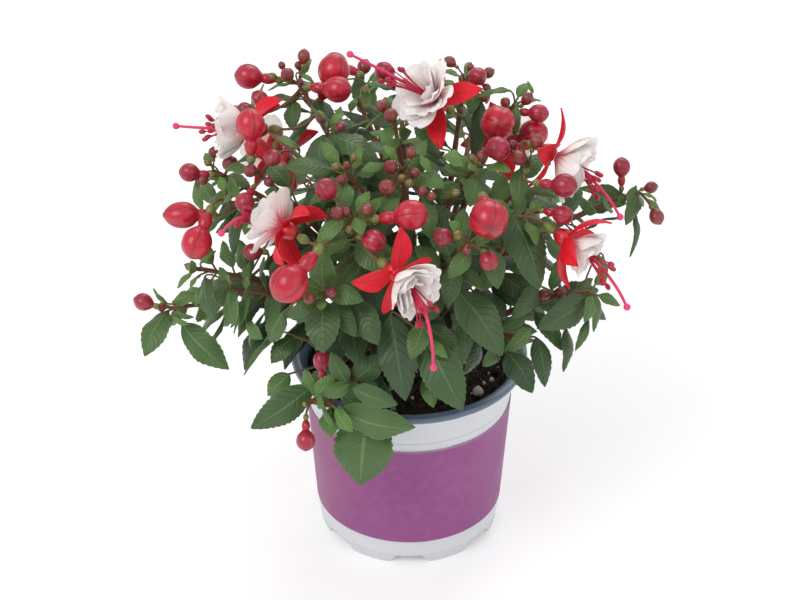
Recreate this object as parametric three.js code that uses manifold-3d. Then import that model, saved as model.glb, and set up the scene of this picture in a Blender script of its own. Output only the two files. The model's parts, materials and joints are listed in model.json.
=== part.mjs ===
// A fuchsia in bud and flower, grown in a round plastic pot. Millimetres, +Z up, +X to the right and -Y
// towards the viewer. Everything is drawn about the pot's axis, with the floor at 0, and moved at the end.
import * as THREE from "three";
import { mergeVertices } from "three/addons/utils/BufferGeometryUtils.js";
import Module from "manifold-3d";

const wasm = await Module();
wasm.setup();

// Pot
const RIM_RADIUS = 65;
const RIM_TOP = 110.6;
const LIP_DROP = 5;
const BORE_RADIUS = 60.2;
const WALL = 1.5;
const COLLAR_RADIUS = 57.6;
const COLLAR_TOP = 107;
const COLLAR_STEP_HEIGHT = 88;
const COLLAR_STEP = 0.5;
const FOOT_RADIUS = 50.4;
const FLOOR_HEIGHT = 6;
const FLOOR_THICK = 1.6;
const FOOT_WIDTH = 4;
const NOTCH_COUNT = 7;
const NOTCH_HEIGHT = 4.7;
const NOTCH_HALF_TOP = THREE.MathUtils.degToRad(8);
const NOTCH_HALF_FOOT = THREE.MathUtils.degToRad(13.5);
const DRAIN_COUNT = 4;
const DRAIN_RADIUS = 5;
const DRAIN_CIRCLE = 30;
const POT_SIDES = 32;

// Printed sleeve
const LABEL_BOTTOM = 16.8;
const LABEL_TOP = 82.4;
const LABEL_THICK = 0.5;
const GAP = 0.3;

// Soil
const SOIL_TOP = 101;
const SOIL_ROUGHNESS = 1.1;
const SOIL_HEAP = 3;
const SOIL_SLACK = 0.995;
const SOIL_RINGS = 4;
const SOIL_SIDES = 22;
const GRAINS = [
  [37, -30, 3.2],
  [-18, -46, 2.4],
  [-39, 26, 2.6],
];

// Stump and limbs: each limb's end, and its radius there
const STUMP_FOOT = 74;
const STUMP_TOP = 121;
const STUMP_RADIUS = 6;
const LIMB_START_RADIUS = 3.4;
const LIMB_END_RADIUS = 2.3;
const LIMB_LIFT = 7;
const LIMB_BEND = 0.45;
const LIMB_SPREAD = 0.12;
const LIMB_DEPTH = 7;
const HOLE_RADIUS = STUMP_RADIUS + 0.5;
const LIMB_STEPS = 2;
const LIMBS = {
  left_low: [-42, -12, 140],
  left: [-36, 2, 168],
  back_left: [-25, 20, 188],
  front_left: [-25, -37, 142],
  front: [7, -38, 152],
  right_front: [37, -27, 143],
  right: [41, 3, 162],
  back_right: [27, 19, 184],
  top: [-1, -3, 198],
  back: [2, 40, 160],
};

// The places of tips, leaves, buds and blooms are given as the viewer sees them, in millimetres from a
// point on the plant: to the right, up the view, and towards the viewer.
const VIEW_POINT = new THREE.Vector3(-5, 0, 143);
const VIEW_TILT = THREE.MathUtils.degToRad(33.4);
const VIEW_DISTANCE = 1200;

// The bush of leaves, as an ellipsoid
const BUSH_CENTRE = new THREE.Vector3(-3, 0, 175);
const BUSH_AXES = new THREE.Vector3(122, 102, 92);

// A spray: the limb that carries it, how far along that limb, its tip, its buds and its leaves.
// A bud: its middle (3), its diameter, the way it points (3) and its kind.
// A leaf: the foot of its blade (3), its tip (3), its width and its turn about its own length.
const SPRAYS = {
  top_left: {
    limb: "back_left",
    along: 1,
    tip: [-55, 117, 30],
    buds: [
      [-82, 121, 35, 13.5, -10, 1, 2, "long"],
      [-61, 122, 41, 7.5, 0, 1, 9, "round"],
      [-36, 124, 28, 17, 3, 6, 4, "long"],
      [-34, 114, 42, 14, 9, -1, 3, "long"],
      [-76, 109, 36, 9, -6, 5, 4, "round"],
      [-84, 103, 44, 8, -8, 2, 4, "round"],
    ],
    leaves: [
      [-62, 115, 38, -63, 99, 48, 10, 0],
      [-53, 110, 22, -29, 93, 24, 13, 0],
    ],
  },
  top_twig: {
    limb: "top",
    along: 0.9,
    tip: [-23, 108, 20],
    buds: [],
    leaves: [],
  },
  top_mid_left: {
    limb: "back_left",
    along: 0.7,
    tip: [-40, 91, 62],
    buds: [],
    leaves: [
      [-40, 92, 62, -48, 105, 74, 9, 0],
      [-42, 89, 66, -44, 68, 82, 15, 0],
      [-38, 89, 62, -11, 75, 73, 16, 0],
    ],
  },
  top_centre: {
    limb: "top",
    along: 1,
    tip: [-3, 95, 68],
    buds: [
      [-5, 100, 76, 7.5, -1, 2, 9, "round"],
    ],
    leaves: [
      [1, 96, 73, 3, 73, 92, 16, 0],
      [-1, 88, 66, -9, 76, 69, 7, 0],
    ],
  },
  top: {
    limb: "back_right",
    along: 0.6,
    tip: [35, 119, 36],
    buds: [
      [42, 121, 45, 10, 3, -2, 9, "round"],
    ],
    leaves: [
      [41, 114, 34, 38, 101, 44, 8, 0],
      [44, 108, 34, 40, 74, 40, 9, 0],
      [31, 106, 28, 40, 89, 32, 8, 0],
    ],
  },
  top_right: {
    limb: "back_right",
    along: 1,
    tip: [62, 106, 50],
    buds: [
      [53, 96, 68, 18, 0, -1, 9, "long"],
      [75, 101, 57, 10, 9, -1, 3, "long"],
      [72, 90, 48, 15, 7, 2, 4, "long"],
    ],
    leaves: [],
  },
  right_top: {
    limb: "right",
    along: 0.6,
    tip: [70, 72, 78],
    buds: [
      [53, 82, 89, 12.5, -3, -1, 9, "long"],
      [64, 77, 86, 8, -2, 0, 9, "round"],
      [89, 62, 104, 12, 9, -1, 3, "long"],
    ],
    leaves: [
      [65, 71, 82, 63, 51, 87, 10, 0],
      [73, 65, 80, 81, 45, 82, 9, 0],
      [61, 61, 72, 45, 51, 76, 8, 0],
      [69, 63, 72, 67, 51, 81, 7, 0],
    ],
  },
  right_inner: {
    limb: "top",
    along: 0.55,
    tip: [42, 73, 82],
    buds: [],
    leaves: [
      [47, 73, 83, 60, 70, 92, 9, 0],
      [42, 67, 80, 38, 51, 92, 12, 0],
      [37, 72, 80, 22, 76, 86, 12, 0],
    ],
  },
  right_arch: {
    limb: "right",
    along: 1,
    tip: [130, 58, 35],
    buds: [
      [120, 72, 33, 9.5, 0, 9, 1, "long"],
      [139, 45, 39, 8, 4, -8, 2, "round"],
    ],
    leaves: [
      [124, 57, 30, 97, 63, 26, 9, 60],
      [130, 62, 35, 125, 41, 44, 11, 0],
      [133, 48, 34, 131, 23, 36, 7, 0],
      [100, 38, 24, 120, 45, 32, 11, 0],
    ],
  },
  right_bloom: {
    limb: "right_front",
    along: 0.7,
    tip: [67, 45, 90],
    buds: [[88, 46, 99, 10, 8, -2, 5, "long"]],
    leaves: [
      [61, 45, 93, 76, 6, 101, 21, 0],
      [68, 49, 86, 83, 48, 95, 10, 0],
      [92, 48, 78, 103, 36, 88, 12, 0],
    ],
  },
  right_low: {
    limb: "right_front",
    along: 1,
    tip: [103, 4, 60],
    buds: [],
    leaves: [
      [75, 8, 62, 61, -10, 72, 11, 0],
      [102, 1, 63, 75, -16, 71, 16, 0],
      [104, 2, 64, 100, -12, 72, 8, 0],
      [107, 6, 59, 108, -17, 61, 8, 0],
      [90, -15, 47, 89, -39, 50, 9, 0],
      [86, 1, 47, 76, -13, 60, 12, 0],
      [110, 24, 50, 108, 8, 53, 8, 0],
    ],
  },
  rim_right: {
    limb: "right_front",
    along: 0.45,
    tip: [62, -21, 66],
    buds: [],
    leaves: [
      [58, -28, 68, 72, -50, 76, 15, 0],
      [74, -16, 69, 60, -29, 74, 9, 0],
      [31, 5, 84, 56, -30, 86, 20, 0],
      [34, -3, 66, 34, -36, 64, 12, 0],
      [54, -24, 58, 45, -36, 66, 10, 0],
    ],
  },
  centre_right: {
    limb: "front",
    along: 0.6,
    tip: [37, 31, 110],
    buds: [
      [48, 44, 121, 19.5, 1, -5, 9, "long"],
      [23, 34, 120, 9.5, -2, -2, 9, "round"],
      [48, 21, 118, 9.5, 3, -6, 7, "round"],
    ],
    leaves: [
      [50, 31, 108, 55, 9, 116, 12, 0],
      [38, 26, 116, 26, 12, 121, 9, 0],
    ],
  },
  front_centre: {
    limb: "front",
    along: 1,
    tip: [10, -20, 88],
    buds: [],
    leaves: [
      [14, -22, 87, 34, -60, 90, 21, 0],
      [-5, -8, 86, 3, -55, 86, 19, 0],
      [14, -42, 74, 18, -58, 80, 9, 0],
      [13, -13, 94, 6, -32, 102, 11, 0],
    ],
  },
  centre_left: {
    limb: "front_left",
    along: 0.45,
    tip: [-26, 43, 110],
    buds: [
      [6, 46, 121, 15.5, 9, 1, 3, "long"],
      [-14, 32, 118, 11.5, 8, -3, 5, "round"],
      [-40, 60, 116, 11, -5, 4, 7, "round"],
      [-60, 9, 128, 18.5, -6, -7, 2, "long"],
    ],
    leaves: [
      [-30, 43, 114, -45, 28, 118, 9, 0],
      [-23, 40, 111, -19, 31, 119, 7, 0],
      [-23, 31, 102, -8, 15, 110, 14, 0],
    ],
  },
  centre_top: {
    limb: "top",
    along: 0.75,
    tip: [1, 71, 92],
    buds: [
      [-7, 61, 101, 8.5, -1, -2, 9, "round"],
      [-5, 72, 98, 7.5, -4, 2, 8, "round"],
    ],
    leaves: [
      [-4, 59, 93, -6, 45, 105, 9, 0],
      [-8, 73, 90, -21, 70, 96, 7, 0],
      [13, 54, 90, 16, 34, 98, 11, 0],
      [8, 68, 86, 24, 62, 96, 13, 0],
    ],
  },
  centre_top_left: {
    limb: "top",
    along: 0.6,
    tip: [-30, 70, 90],
    buds: [],
    leaves: [
      [-29, 63, 93, -31, 47, 104, 10, 0],
      [-25, 72, 86, -8, 78, 88, 9, 0],
      [-37, 68, 85, -63, 71, 90, 13, 0],
    ],
  },
  left_inner: {
    limb: "left",
    along: 0.75,
    tip: [-75, 67, 70],
    buds: [
      [-69, 77, 82, 9, 0, -5, 8, "round"],
      [-84, 53, 84, 10, -3, -6, 6, "long"],
      [-81, 95, 84, 15, 0, 9, 3, "long"],
    ],
    leaves: [
      [-58, 77, 68, -70, 84, 76, 10, 0],
      [-77, 69, 66, -95, 72, 74, 11, 0],
    ],
  },
  left_high: {
    limb: "left",
    along: 1,
    tip: [-101, 70, 42],
    buds: [
      [-114, 69, 50, 10, -9, 1, 1, "long"],
      [-92, 74, 52, 8.5, 2, 3, 8, "round"],
    ],
    leaves: [
      [-93, 62, 42, -101, 48, 52, 9, 0],
      [-106, 64, 42, -103, 48, 44, 7, 0],
      [-97, 66, 36, -81, 62, 46, 10, 0],
    ],
  },
  left_mid: {
    limb: "left",
    along: 0.5,
    tip: [-94, 54, 62],
    buds: [
      [-117, 46, 67, 14, -10, 0, 1, "opening"],
      [-110, 31, 80, 16, -3, -8, 3, "long"],
    ],
    leaves: [[-88, 56, 52, -96, 24, 56, 10, 0]],
  },
  left_thin: {
    limb: "left_low",
    along: 0.8,
    tip: [-109, 17, 48],
    buds: [[-80, 26, 56, 9, -9, 0, 3, "round"]],
    leaves: [
      [-71, 24, 44, -77, 1, 46, 8, 0],
      [-81, 21, 40, -83, 2, 44, 7, 0],
    ],
  },
  left_leafy: {
    limb: "left_low",
    along: 0.5,
    tip: [-91, 6, 58],
    buds: [],
    leaves: [
      [-92, 5, 60, -90, -14, 70, 12, 0],
      [-101, 12, 56, -96, -12, 62, 12, 0],
      [-83, 3, 56, -87, -13, 64, 10, 0],
      [-67, 19, 48, -75, -22, 52, 13, 0],
      [-88, 28, 50, -96, 17, 60, 10, 0],
      [-90, -12, 64, -82, -21, 72, 8, 0],
    ],
  },
  left_low: {
    limb: "left_low",
    along: 1,
    tip: [-123, -4, 28],
    buds: [
      [-139, -1, 34, 9.5, -9, 3, 0, "round"],
    ],
    leaves: [
      [-118, -13, 24, -93, -38, 28, 16, -45],
      [-126, -6, 28, -139, -30, 36, 16, -40],
      [-123, -1, 26, -108, 3, 36, 8, 0],
    ],
  },
  low_left: {
    limb: "front_left",
    along: 0.8,
    tip: [-45, -52, 58],
    buds: [
      [-42, -33, 62, 10, 0, 9, 2, "long"],
      [-51, -76, 64, 10, 0, -9, 2, "long"],
    ],
    leaves: [
      [-48, -47, 54, -81, -70, 52, 17, 0],
      [-45, -55, 56, -61, -60, 58, 8, 0],
      [-37, -58, 54, -38, -74, 58, 13, 0],
      [-18, -62, 58, -22, -101, 42, 31, 0],
      [-32, -56, 62, 9, -67, 62, 20, 0],
      [-33, -58, 66, -24, -71, 70, 9, 0],
      [-44, -50, 54, -34, -38, 58, 9, 0],
      [-45, -50, 52, -50, -36, 56, 9, 0],
    ],
  },
  low_front: {
    limb: "front_left",
    along: 0.65,
    tip: [-27, -43, 72],
    buds: [],
    leaves: [
      [-25, -43, 72, -8, -30, 82, 13, 0],
      [-28, -43, 72, -37, -27, 78, 10, 0],
      [-24, -45, 73, 0, -55, 76, 12, 0],
      [-30, -45, 73, -43, -52, 78, 8, 0],
      [-58, -20, 52, -70, -34, 56, 11, 0],
    ],
  },
  front_left: {
    limb: "front_left",
    along: 1,
    tip: [-41, 4, 106],
    buds: [],
    leaves: [
      [-41, -1, 106, -42, -28, 118, 18, 0],
      [-41, 6, 104, -42, 27, 114, 14, 0],
      [-38, 4, 106, -20, 0, 114, 10, 0],
      [-25, 0, 96, -12, -24, 106, 15, 0],
    ],
  },
  back_top: {
    limb: "top",
    along: 0.85,
    behind: true,
    tip: [11, 52, 102],
    buds: [[20, 60, 110, 11, 5, 5, 5, "long"]],
    leaves: [],
  },
  back_left_side: {
    limb: "back_left",
    along: 0.8,
    behind: true,
    tip: [98, 24, 98],
    buds: [[110, 26, 100, 12, 9, 0, 2, "long"]],
    leaves: [],
  },
  back_middle: {
    limb: "back",
    along: 1,
    behind: true,
    tip: [39, 12, 133],
    buds: [
      [52, 16, 138, 13, 8, 0, 4, "long"],
      [34, 12, 138, 8, -3, 4, 8, "round"],
    ],
    leaves: [],
  },
  back_right_side: {
    limb: "back_right",
    along: 0.8,
    behind: true,
    tip: [-39, 6, 123],
    buds: [[-30, 10, 130, 8, 4, 2, 8, "round"]],
    leaves: [],
  },
  back_left_low: {
    limb: "back",
    along: 0.7,
    behind: true,
    tip: [70, -56, 92],
    buds: [[80, -60, 98, 10, 7, -6, 2, "long"]],
    leaves: [],
  },
  back_right_low: {
    limb: "back",
    along: 0.5,
    behind: true,
    tip: [-75, -47, 79],
    buds: [],
    leaves: [],
  },
};

// A bloom: the spray that carries it, the mouth of its red tube, the way it opens, the turn of its sepals,
// how far they bend back at root and tip, their length, the petals' length and angles, and the style's end.
const BLOOMS = {
  upper_left: {
    spray: "top_left",
    mouth: [-81, 92.5, 62],
    opens: [-10, 0, 1],
    turn: 45,
    bend: [108, 168],
    sepal: 24,
    petal: 21,
    flare: [52, 8],
    styleEnd: [-119, 94, 62],
  },
  top: {
    spray: "top",
    mouth: [19, 108, 72],
    opens: [-6, 3, 7],
    turn: 15,
    bend: [95, 100],
    sepal: 24,
    petal: 20,
    flare: [62, 40],
    styleEnd: [-25, 132, 102],
  },
  right_top: {
    spray: "right_top",
    mouth: [84, 78, 80],
    opens: [9, -4.5, 1],
    turn: 5,
    bend: [95, 125],
    sepal: 22,
    petal: 22,
    flare: [58, 24],
    styleEnd: [118, 47, 84],
  },
  left: {
    spray: "centre_left",
    mouth: [-63.7, 39.4, 104],
    opens: [-8, 4.5, -2.5],
    turn: -45,
    bend: [108, 160],
    sepal: 23,
    petal: 18,
    flare: [74, 46],
    styleEnd: [-96, 37, 134],
  },
  front: {
    spray: "centre_left",
    mouth: [-1, 13, 128],
    opens: [6, -5, 6],
    turn: 15,
    bend: [92, 105],
    sepal: 23,
    petal: 20,
    flare: [46, 8],
    styleEnd: [18, -34, 145],
  },
  right: {
    spray: "right_bloom",
    mouth: [92, 31.5, 98],
    opens: [7, -5, 1.5],
    turn: 18,
    bend: [80, -8],
    sepal: 24,
    petal: 16,
    flare: [48, 0],
    styleEnd: [122, -2, 116],
  },
  back_left: {
    spray: "back_left_side",
    behind: true,
    mouth: [84, -4, 90],
    opens: [7, -3, 6],
    turn: 45,
    bend: [92, 115],
    sepal: 24,
    petal: 21,
    flare: [54, 16],
    styleEnd: [114, -38, 116],
  },
  back_right: {
    spray: "back_right_side",
    behind: true,
    mouth: [-53, -17, 105],
    opens: [-5, -6, 6],
    turn: 0,
    bend: [92, 120],
    sepal: 23,
    petal: 20,
    flare: [54, 14],
    styleEnd: [-70, -62, 129],
  },
};

// Stems
const STEM_START_RADIUS = 1.8;
const STEM_END_RADIUS = 1.4;
const STEM_LIFT = 9;
const STEM_SIDES = 4;
const STEM_STEPS = 4;
const START_STEP = 0.3;
const FARTHEST_START = 16;
const STALK_RADIUS = 0.65;
const STALK_ROOT = 1.3;
const STALK_ROOM = 1.2;
const STEM_ROOM = 0.5;

// Leaves
const LEAF_THICK = 0.7;
const LEAF_ARCH = 0.1;
const LEAF_FOLD = 0.2;
const LEAF_RIPPLE = 0.13;
const RIPPLE_TURNS = 1.5;
const PETIOLE = 5;
const LEAF_LENGTH = 37;
const TIP_LEAF_LENGTH = 24;
const LEAF_SHAPE = 0.47;
const LEAF_SPACING = 60;
const BACK_LEAF_SPACING = 16;
const FIRST_LEAF = 0.36;
const WIDE_LEAF = 17;
const NARROW_LEAF = 12.5;
const STATIONS = [0.12, 0.38, 0.68];
const FEW_STATIONS = [0.28, 0.66];
const PETIOLE_HALF = 0.75;
const BENT_BELOW = 0.25;
const BEND_BACK = 0.3;
const BEND_UNDER = 0.2;
const BENT_STEPS = 2;
const BENT_INTO = 1.5;
const BENT_SAMPLES = 12;
const PETIOLE_ROOM = 0.9;
const ROOT_SLACK = 1.4;
const LEAF_RISE = 0.35;
const LEAF_RISE_MOST = 0.75;
const LEAF_SWING = 1.2;
const LEAF_DROOP = 0.4;
const LEAF_ROLL = 50;
const LEAF_LIGHT = 0.55;
const LEAF_SWELL = 0.7;
const LEAF_TAPER = 0.95;
const SAMPLE_STEP = 4;
const SAMPLE_RADIUS = 1.75;
const MOVES = [0, 3, -3, 6, -6, 9, -9, 12, -12];
const TRIES = 10;
const SEED = 5;
const SHORTEST_EDGE = 0.08;

// Blooms
const TUBE_LENGTH = 9;
const TUBE_RADIUS = 4.2;
const MOUTH_RADIUS = 3.6;
const OVARY_LENGTH = 7;
const OVARY_RADIUS = 2.5;
const SEPAL_WIDTH = 11.5;
const PETAL_WIDTH = 13;
const PETAL_CUP = 0.14;
const PETAL_COUNT = 5;
const INNER_PETAL_COUNT = 2;
const PETAL_TWIST = THREE.MathUtils.degToRad(24);
const FILAMENT_COUNT = 4;
const TUBE_BACK_RADIUS = 2.2;
const DISC_RADIUS = 3;
const DISC_TOP = 1.7;
const STYLE_FOOT = 4;
const STIGMA_RADIUS = 1.5;
const SEPAL_DEPTH = 1.4;

const UP = new THREE.Vector3(0, 0, 1);
const VIEW_UP = new THREE.Vector3(0, Math.sin(VIEW_TILT), Math.cos(VIEW_TILT));
const VIEW_BACK = new THREE.Vector3(0, -Math.cos(VIEW_TILT), Math.sin(VIEW_TILT));

const vec = (x, y, z) => new THREE.Vector3(x, y, z);
const ratio = (a, b, t) => a + (b - a) * t;

function turned(v, behind) {
  return behind ? vec(-v.x, -v.y, v.z) : v;
}

// A way in the view, as a unit vector of the pot's frame.
function way([across, up, towards], behind) {
  const v = vec(across, 0, 0).addScaledVector(VIEW_UP, up).addScaledVector(VIEW_BACK, towards);
  return turned(v.normalize(), behind);
}

// A place in the view: things nearer to the viewer look larger, so the two offsets shrink with nearness.
function seen([across, up, towards], behind) {
  const near = 1 - towards / VIEW_DISTANCE;
  const p = VIEW_POINT.clone();
  p.x += across * near;
  p.addScaledVector(VIEW_UP, up * near).addScaledVector(VIEW_BACK, towards);
  return turned(p, behind);
}

// Seeded draws, the same each time
function seeded(seed) {
  let state = seed >>> 0;
  return () => {
    state = (state + 0x6d2b79f5) >>> 0;
    let t = state;
    t = Math.imul(t ^ (t >>> 15), t | 1);
    t ^= t + Math.imul(t ^ (t >>> 7), t | 61);
    return ((t ^ (t >>> 14)) >>> 0) / 4294967296;
  };
}

// Solids
function solidOf(geometry) {
  const g = geometry.clone();
  g.deleteAttribute("normal");
  g.deleteAttribute("uv");
  const merged = mergeVertices(g, 1e-4);
  const index = merged.index.array;
  const kept = [];
  for (let i = 0; i < index.length; i += 3) {
    const [a, b, c] = [index[i], index[i + 1], index[i + 2]];
    if (a !== b && b !== c && c !== a) kept.push(a, b, c);
  }
  const mesh = new wasm.Mesh({
    numProp: 3,
    vertProperties: new Float32Array(merged.attributes.position.array),
    triVerts: new Uint32Array(kept),
  });
  return new wasm.Manifold(mesh);
}

function geometryOf(solid) {
  const mesh = solid.getMesh();
  const positions = new Float32Array(mesh.numVert * 3);
  for (let i = 0; i < mesh.numVert; i++) {
    positions.set(mesh.vertProperties.subarray(i * mesh.numProp, i * mesh.numProp + 3), i * 3);
  }
  const geometry = new THREE.BufferGeometry();
  geometry.setAttribute("position", new THREE.BufferAttribute(positions, 3));
  geometry.setIndex(new THREE.BufferAttribute(new Uint32Array(mesh.triVerts), 1));
  geometry.computeVertexNormals();
  return geometry;
}

function fused(solids) {
  return solids.reduce((whole, piece) => whole.add(piece)).simplify(SHORTEST_EDGE);
}

// A closed solid through rings of points. A ring of one point ends it in a tip. Neighbouring quads are cut
// along opposite diagonals, so that the two faces of a blade are cut alike.
function loft(rings) {
  const points = rings.flat();
  const starts = [];
  let count = 0;
  for (const ring of rings) {
    starts.push(count);
    count += ring.length;
  }
  const index = [];
  for (let i = 0; i + 1 < rings.length; i++) {
    const [a, b] = [starts[i], starts[i + 1]];
    const [m, n] = [rings[i].length, rings[i + 1].length];
    const sides = Math.max(m, n);
    for (let j = 0; j < sides; j++) {
      const k = (j + 1) % sides;
      if (m === 1) index.push(a, b + k, b + j);
      else if (n === 1) index.push(a + j, a + k, b);
      else if (j % 2 === 0) index.push(a + j, a + k, b + k, a + j, b + k, b + j);
      else index.push(a + j, a + k, b + j, a + k, b + k, b + j);
    }
  }
  const last = starts[starts.length - 1];
  for (let j = 1; j + 1 < rings[0].length; j++) index.push(0, j + 1, j);
  for (let j = 1; j + 1 < rings[rings.length - 1].length; j++) index.push(last, last + j, last + j + 1);
  const middle = points.reduce((sum, p) => sum.add(p), vec(0, 0, 0)).divideScalar(points.length);
  let volume = 0;
  for (let i = 0; i < index.length; i += 3) {
    const [p, q, r] = [0, 1, 2].map((k) => points[index[i + k]].clone().sub(middle));
    volume += p.dot(q.cross(r));
  }
  if (volume < 0) index.reverse();
  const geometry = new THREE.BufferGeometry().setFromPoints(points);
  geometry.setIndex(index);
  return solidOf(geometry);
}

// Two unit vectors square to a direction and to each other
function squareTo(direction) {
  const helper = Math.abs(direction.z) < 0.9 ? UP : vec(1, 0, 0);
  const side = vec(0, 0, 0).crossVectors(helper, direction).normalize();
  return [side, vec(0, 0, 0).crossVectors(direction, side)];
}

// A round stem along points, with its radius at each. A radius of 0 ends it in a tip.
function stemSolid(points, radii, sides) {
  let [side] = squareTo(points[1].clone().sub(points[0]).normalize());
  const rings = points.map((p, i) => {
    const before = points[Math.max(i - 1, 0)];
    const after = points[Math.min(i + 1, points.length - 1)];
    const along = after.clone().sub(before).normalize();
    side = side.clone().addScaledVector(along, -side.dot(along)).normalize();
    const normal = vec(0, 0, 0).crossVectors(along, side);
    if (radii[i] === 0) return [p];
    return Array.from({ length: sides }, (_, j) => {
      const a = (2 * Math.PI * j) / sides;
      const out = side.clone().multiplyScalar(Math.cos(a)).addScaledVector(normal, Math.sin(a));
      return p.clone().addScaledVector(out, radii[i]);
    });
  });
  return loft(rings);
}

function tapered(points, startRadius, endRadius, sides) {
  const radii = points.map((_, i) => ratio(startRadius, endRadius, i / (points.length - 1)));
  return stemSolid(points, radii, sides);
}

function curvePoints(start, bend, end, steps) {
  return new THREE.QuadraticBezierCurve3(start, bend, end).getPoints(steps);
}

// A turned body: its profile of radii and heights stands on a direction at a place
function turnedSolid(profile, sides, place, direction) {
  const geometry = new THREE.LatheGeometry(
    profile.map(([radius, height]) => new THREE.Vector2(radius, height)),
    sides,
  );
  const turn = new THREE.Quaternion().setFromUnitVectors(vec(0, 1, 0), direction);
  geometry.applyQuaternion(turn);
  geometry.translate(place.x, place.y, place.z);
  return solidOf(geometry);
}

// What is already in the bush, as balls, so that each new leaf is placed clear of it
const taken = [];

function take(points, radius, owner, kind) {
  for (const p of points) taken.push({ p, radius, owner, kind });
}

// Clear of everything, the stalks of its own spray left out unless ownRadius gives them a size
function isClear(points, radius, owner, ownRadius) {
  return !points.some((q) =>
    taken.some((t) => {
      const own = t.owner === owner && t.kind === "stalk";
      const reach = own ? ownRadius : t.radius + radius;
      return t.p.distanceToSquared(q) < reach ** 2;
    }),
  );
}

function nearest(points, p) {
  return points.reduce((best, q) => (q.distanceToSquared(p) < best.distanceToSquared(p) ? q : best));
}

// Pot
function potSolid() {
  const wallAt = (z) => ratio(FOOT_RADIUS, COLLAR_RADIUS, z / COLLAR_TOP);
  const lipBottom = RIM_TOP - LIP_DROP;
  const profile = [
    [FOOT_RADIUS - FOOT_WIDTH, 0],
    [FOOT_RADIUS, 0],
    [wallAt(COLLAR_STEP_HEIGHT), COLLAR_STEP_HEIGHT],
    [wallAt(COLLAR_STEP_HEIGHT) + COLLAR_STEP, COLLAR_STEP_HEIGHT + COLLAR_STEP],
    [wallAt(lipBottom) + COLLAR_STEP, lipBottom],
    [RIM_RADIUS, lipBottom + 2],
    [RIM_RADIUS, RIM_TOP],
    [BORE_RADIUS, RIM_TOP],
    [COLLAR_RADIUS - WALL, lipBottom],
    [wallAt(FLOOR_HEIGHT + FLOOR_THICK) - WALL, FLOOR_HEIGHT + FLOOR_THICK],
    [0, FLOOR_HEIGHT + FLOOR_THICK],
    [0, FLOOR_HEIGHT],
    [FOOT_RADIUS - FOOT_WIDTH, FLOOR_HEIGHT],
    [FOOT_RADIUS - FOOT_WIDTH, 0],
  ];
  let pot = turnedSolid(profile, POT_SIDES, vec(0, 0, 0), UP);
  for (let i = 0; i < NOTCH_COUNT; i++) {
    pot = pot.subtract(notchSolid((2 * Math.PI * i) / NOTCH_COUNT - Math.PI / 2));
  }
  const drain = [
    [0, FLOOR_HEIGHT - 1],
    [DRAIN_RADIUS, FLOOR_HEIGHT - 1],
    [DRAIN_RADIUS, FLOOR_HEIGHT + FLOOR_THICK + 1],
    [0, FLOOR_HEIGHT + FLOOR_THICK + 1],
  ];
  for (let i = 0; i < DRAIN_COUNT; i++) {
    const a = (2 * Math.PI * i) / DRAIN_COUNT;
    const place = vec(DRAIN_CIRCLE * Math.cos(a), DRAIN_CIRCLE * Math.sin(a), 0);
    pot = pot.subtract(turnedSolid(drain, 8, place, UP));
  }
  return pot;
}

// One notch of the foot ring: a wedge that is wider at the floor
function notchSolid(azimuth) {
  const inner = FOOT_RADIUS - FOOT_WIDTH - 1;
  const outer = FOOT_RADIUS + 3;
  const ring = (half, z) =>
    [
      [inner, -half],
      [outer, -half],
      [outer, half],
      [inner, half],
    ].map(([radius, angle]) => {
      const turn = azimuth + angle;
      return vec(radius * Math.cos(turn), radius * Math.sin(turn), z);
    });
  return loft([ring(NOTCH_HALF_FOOT, -1), ring(NOTCH_HALF_TOP, NOTCH_HEIGHT)]);
}

function labelSolid() {
  const wallAt = (z) => ratio(FOOT_RADIUS, COLLAR_RADIUS, z / COLLAR_TOP) + GAP;
  const profile = [
    [wallAt(LABEL_BOTTOM), LABEL_BOTTOM],
    [wallAt(LABEL_BOTTOM) + LABEL_THICK, LABEL_BOTTOM],
    [wallAt(LABEL_TOP) + LABEL_THICK, LABEL_TOP],
    [wallAt(LABEL_TOP), LABEL_TOP],
    [wallAt(LABEL_BOTTOM), LABEL_BOTTOM],
  ];
  return turnedSolid(profile, POT_SIDES, vec(0, 0, 0), UP);
}

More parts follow.
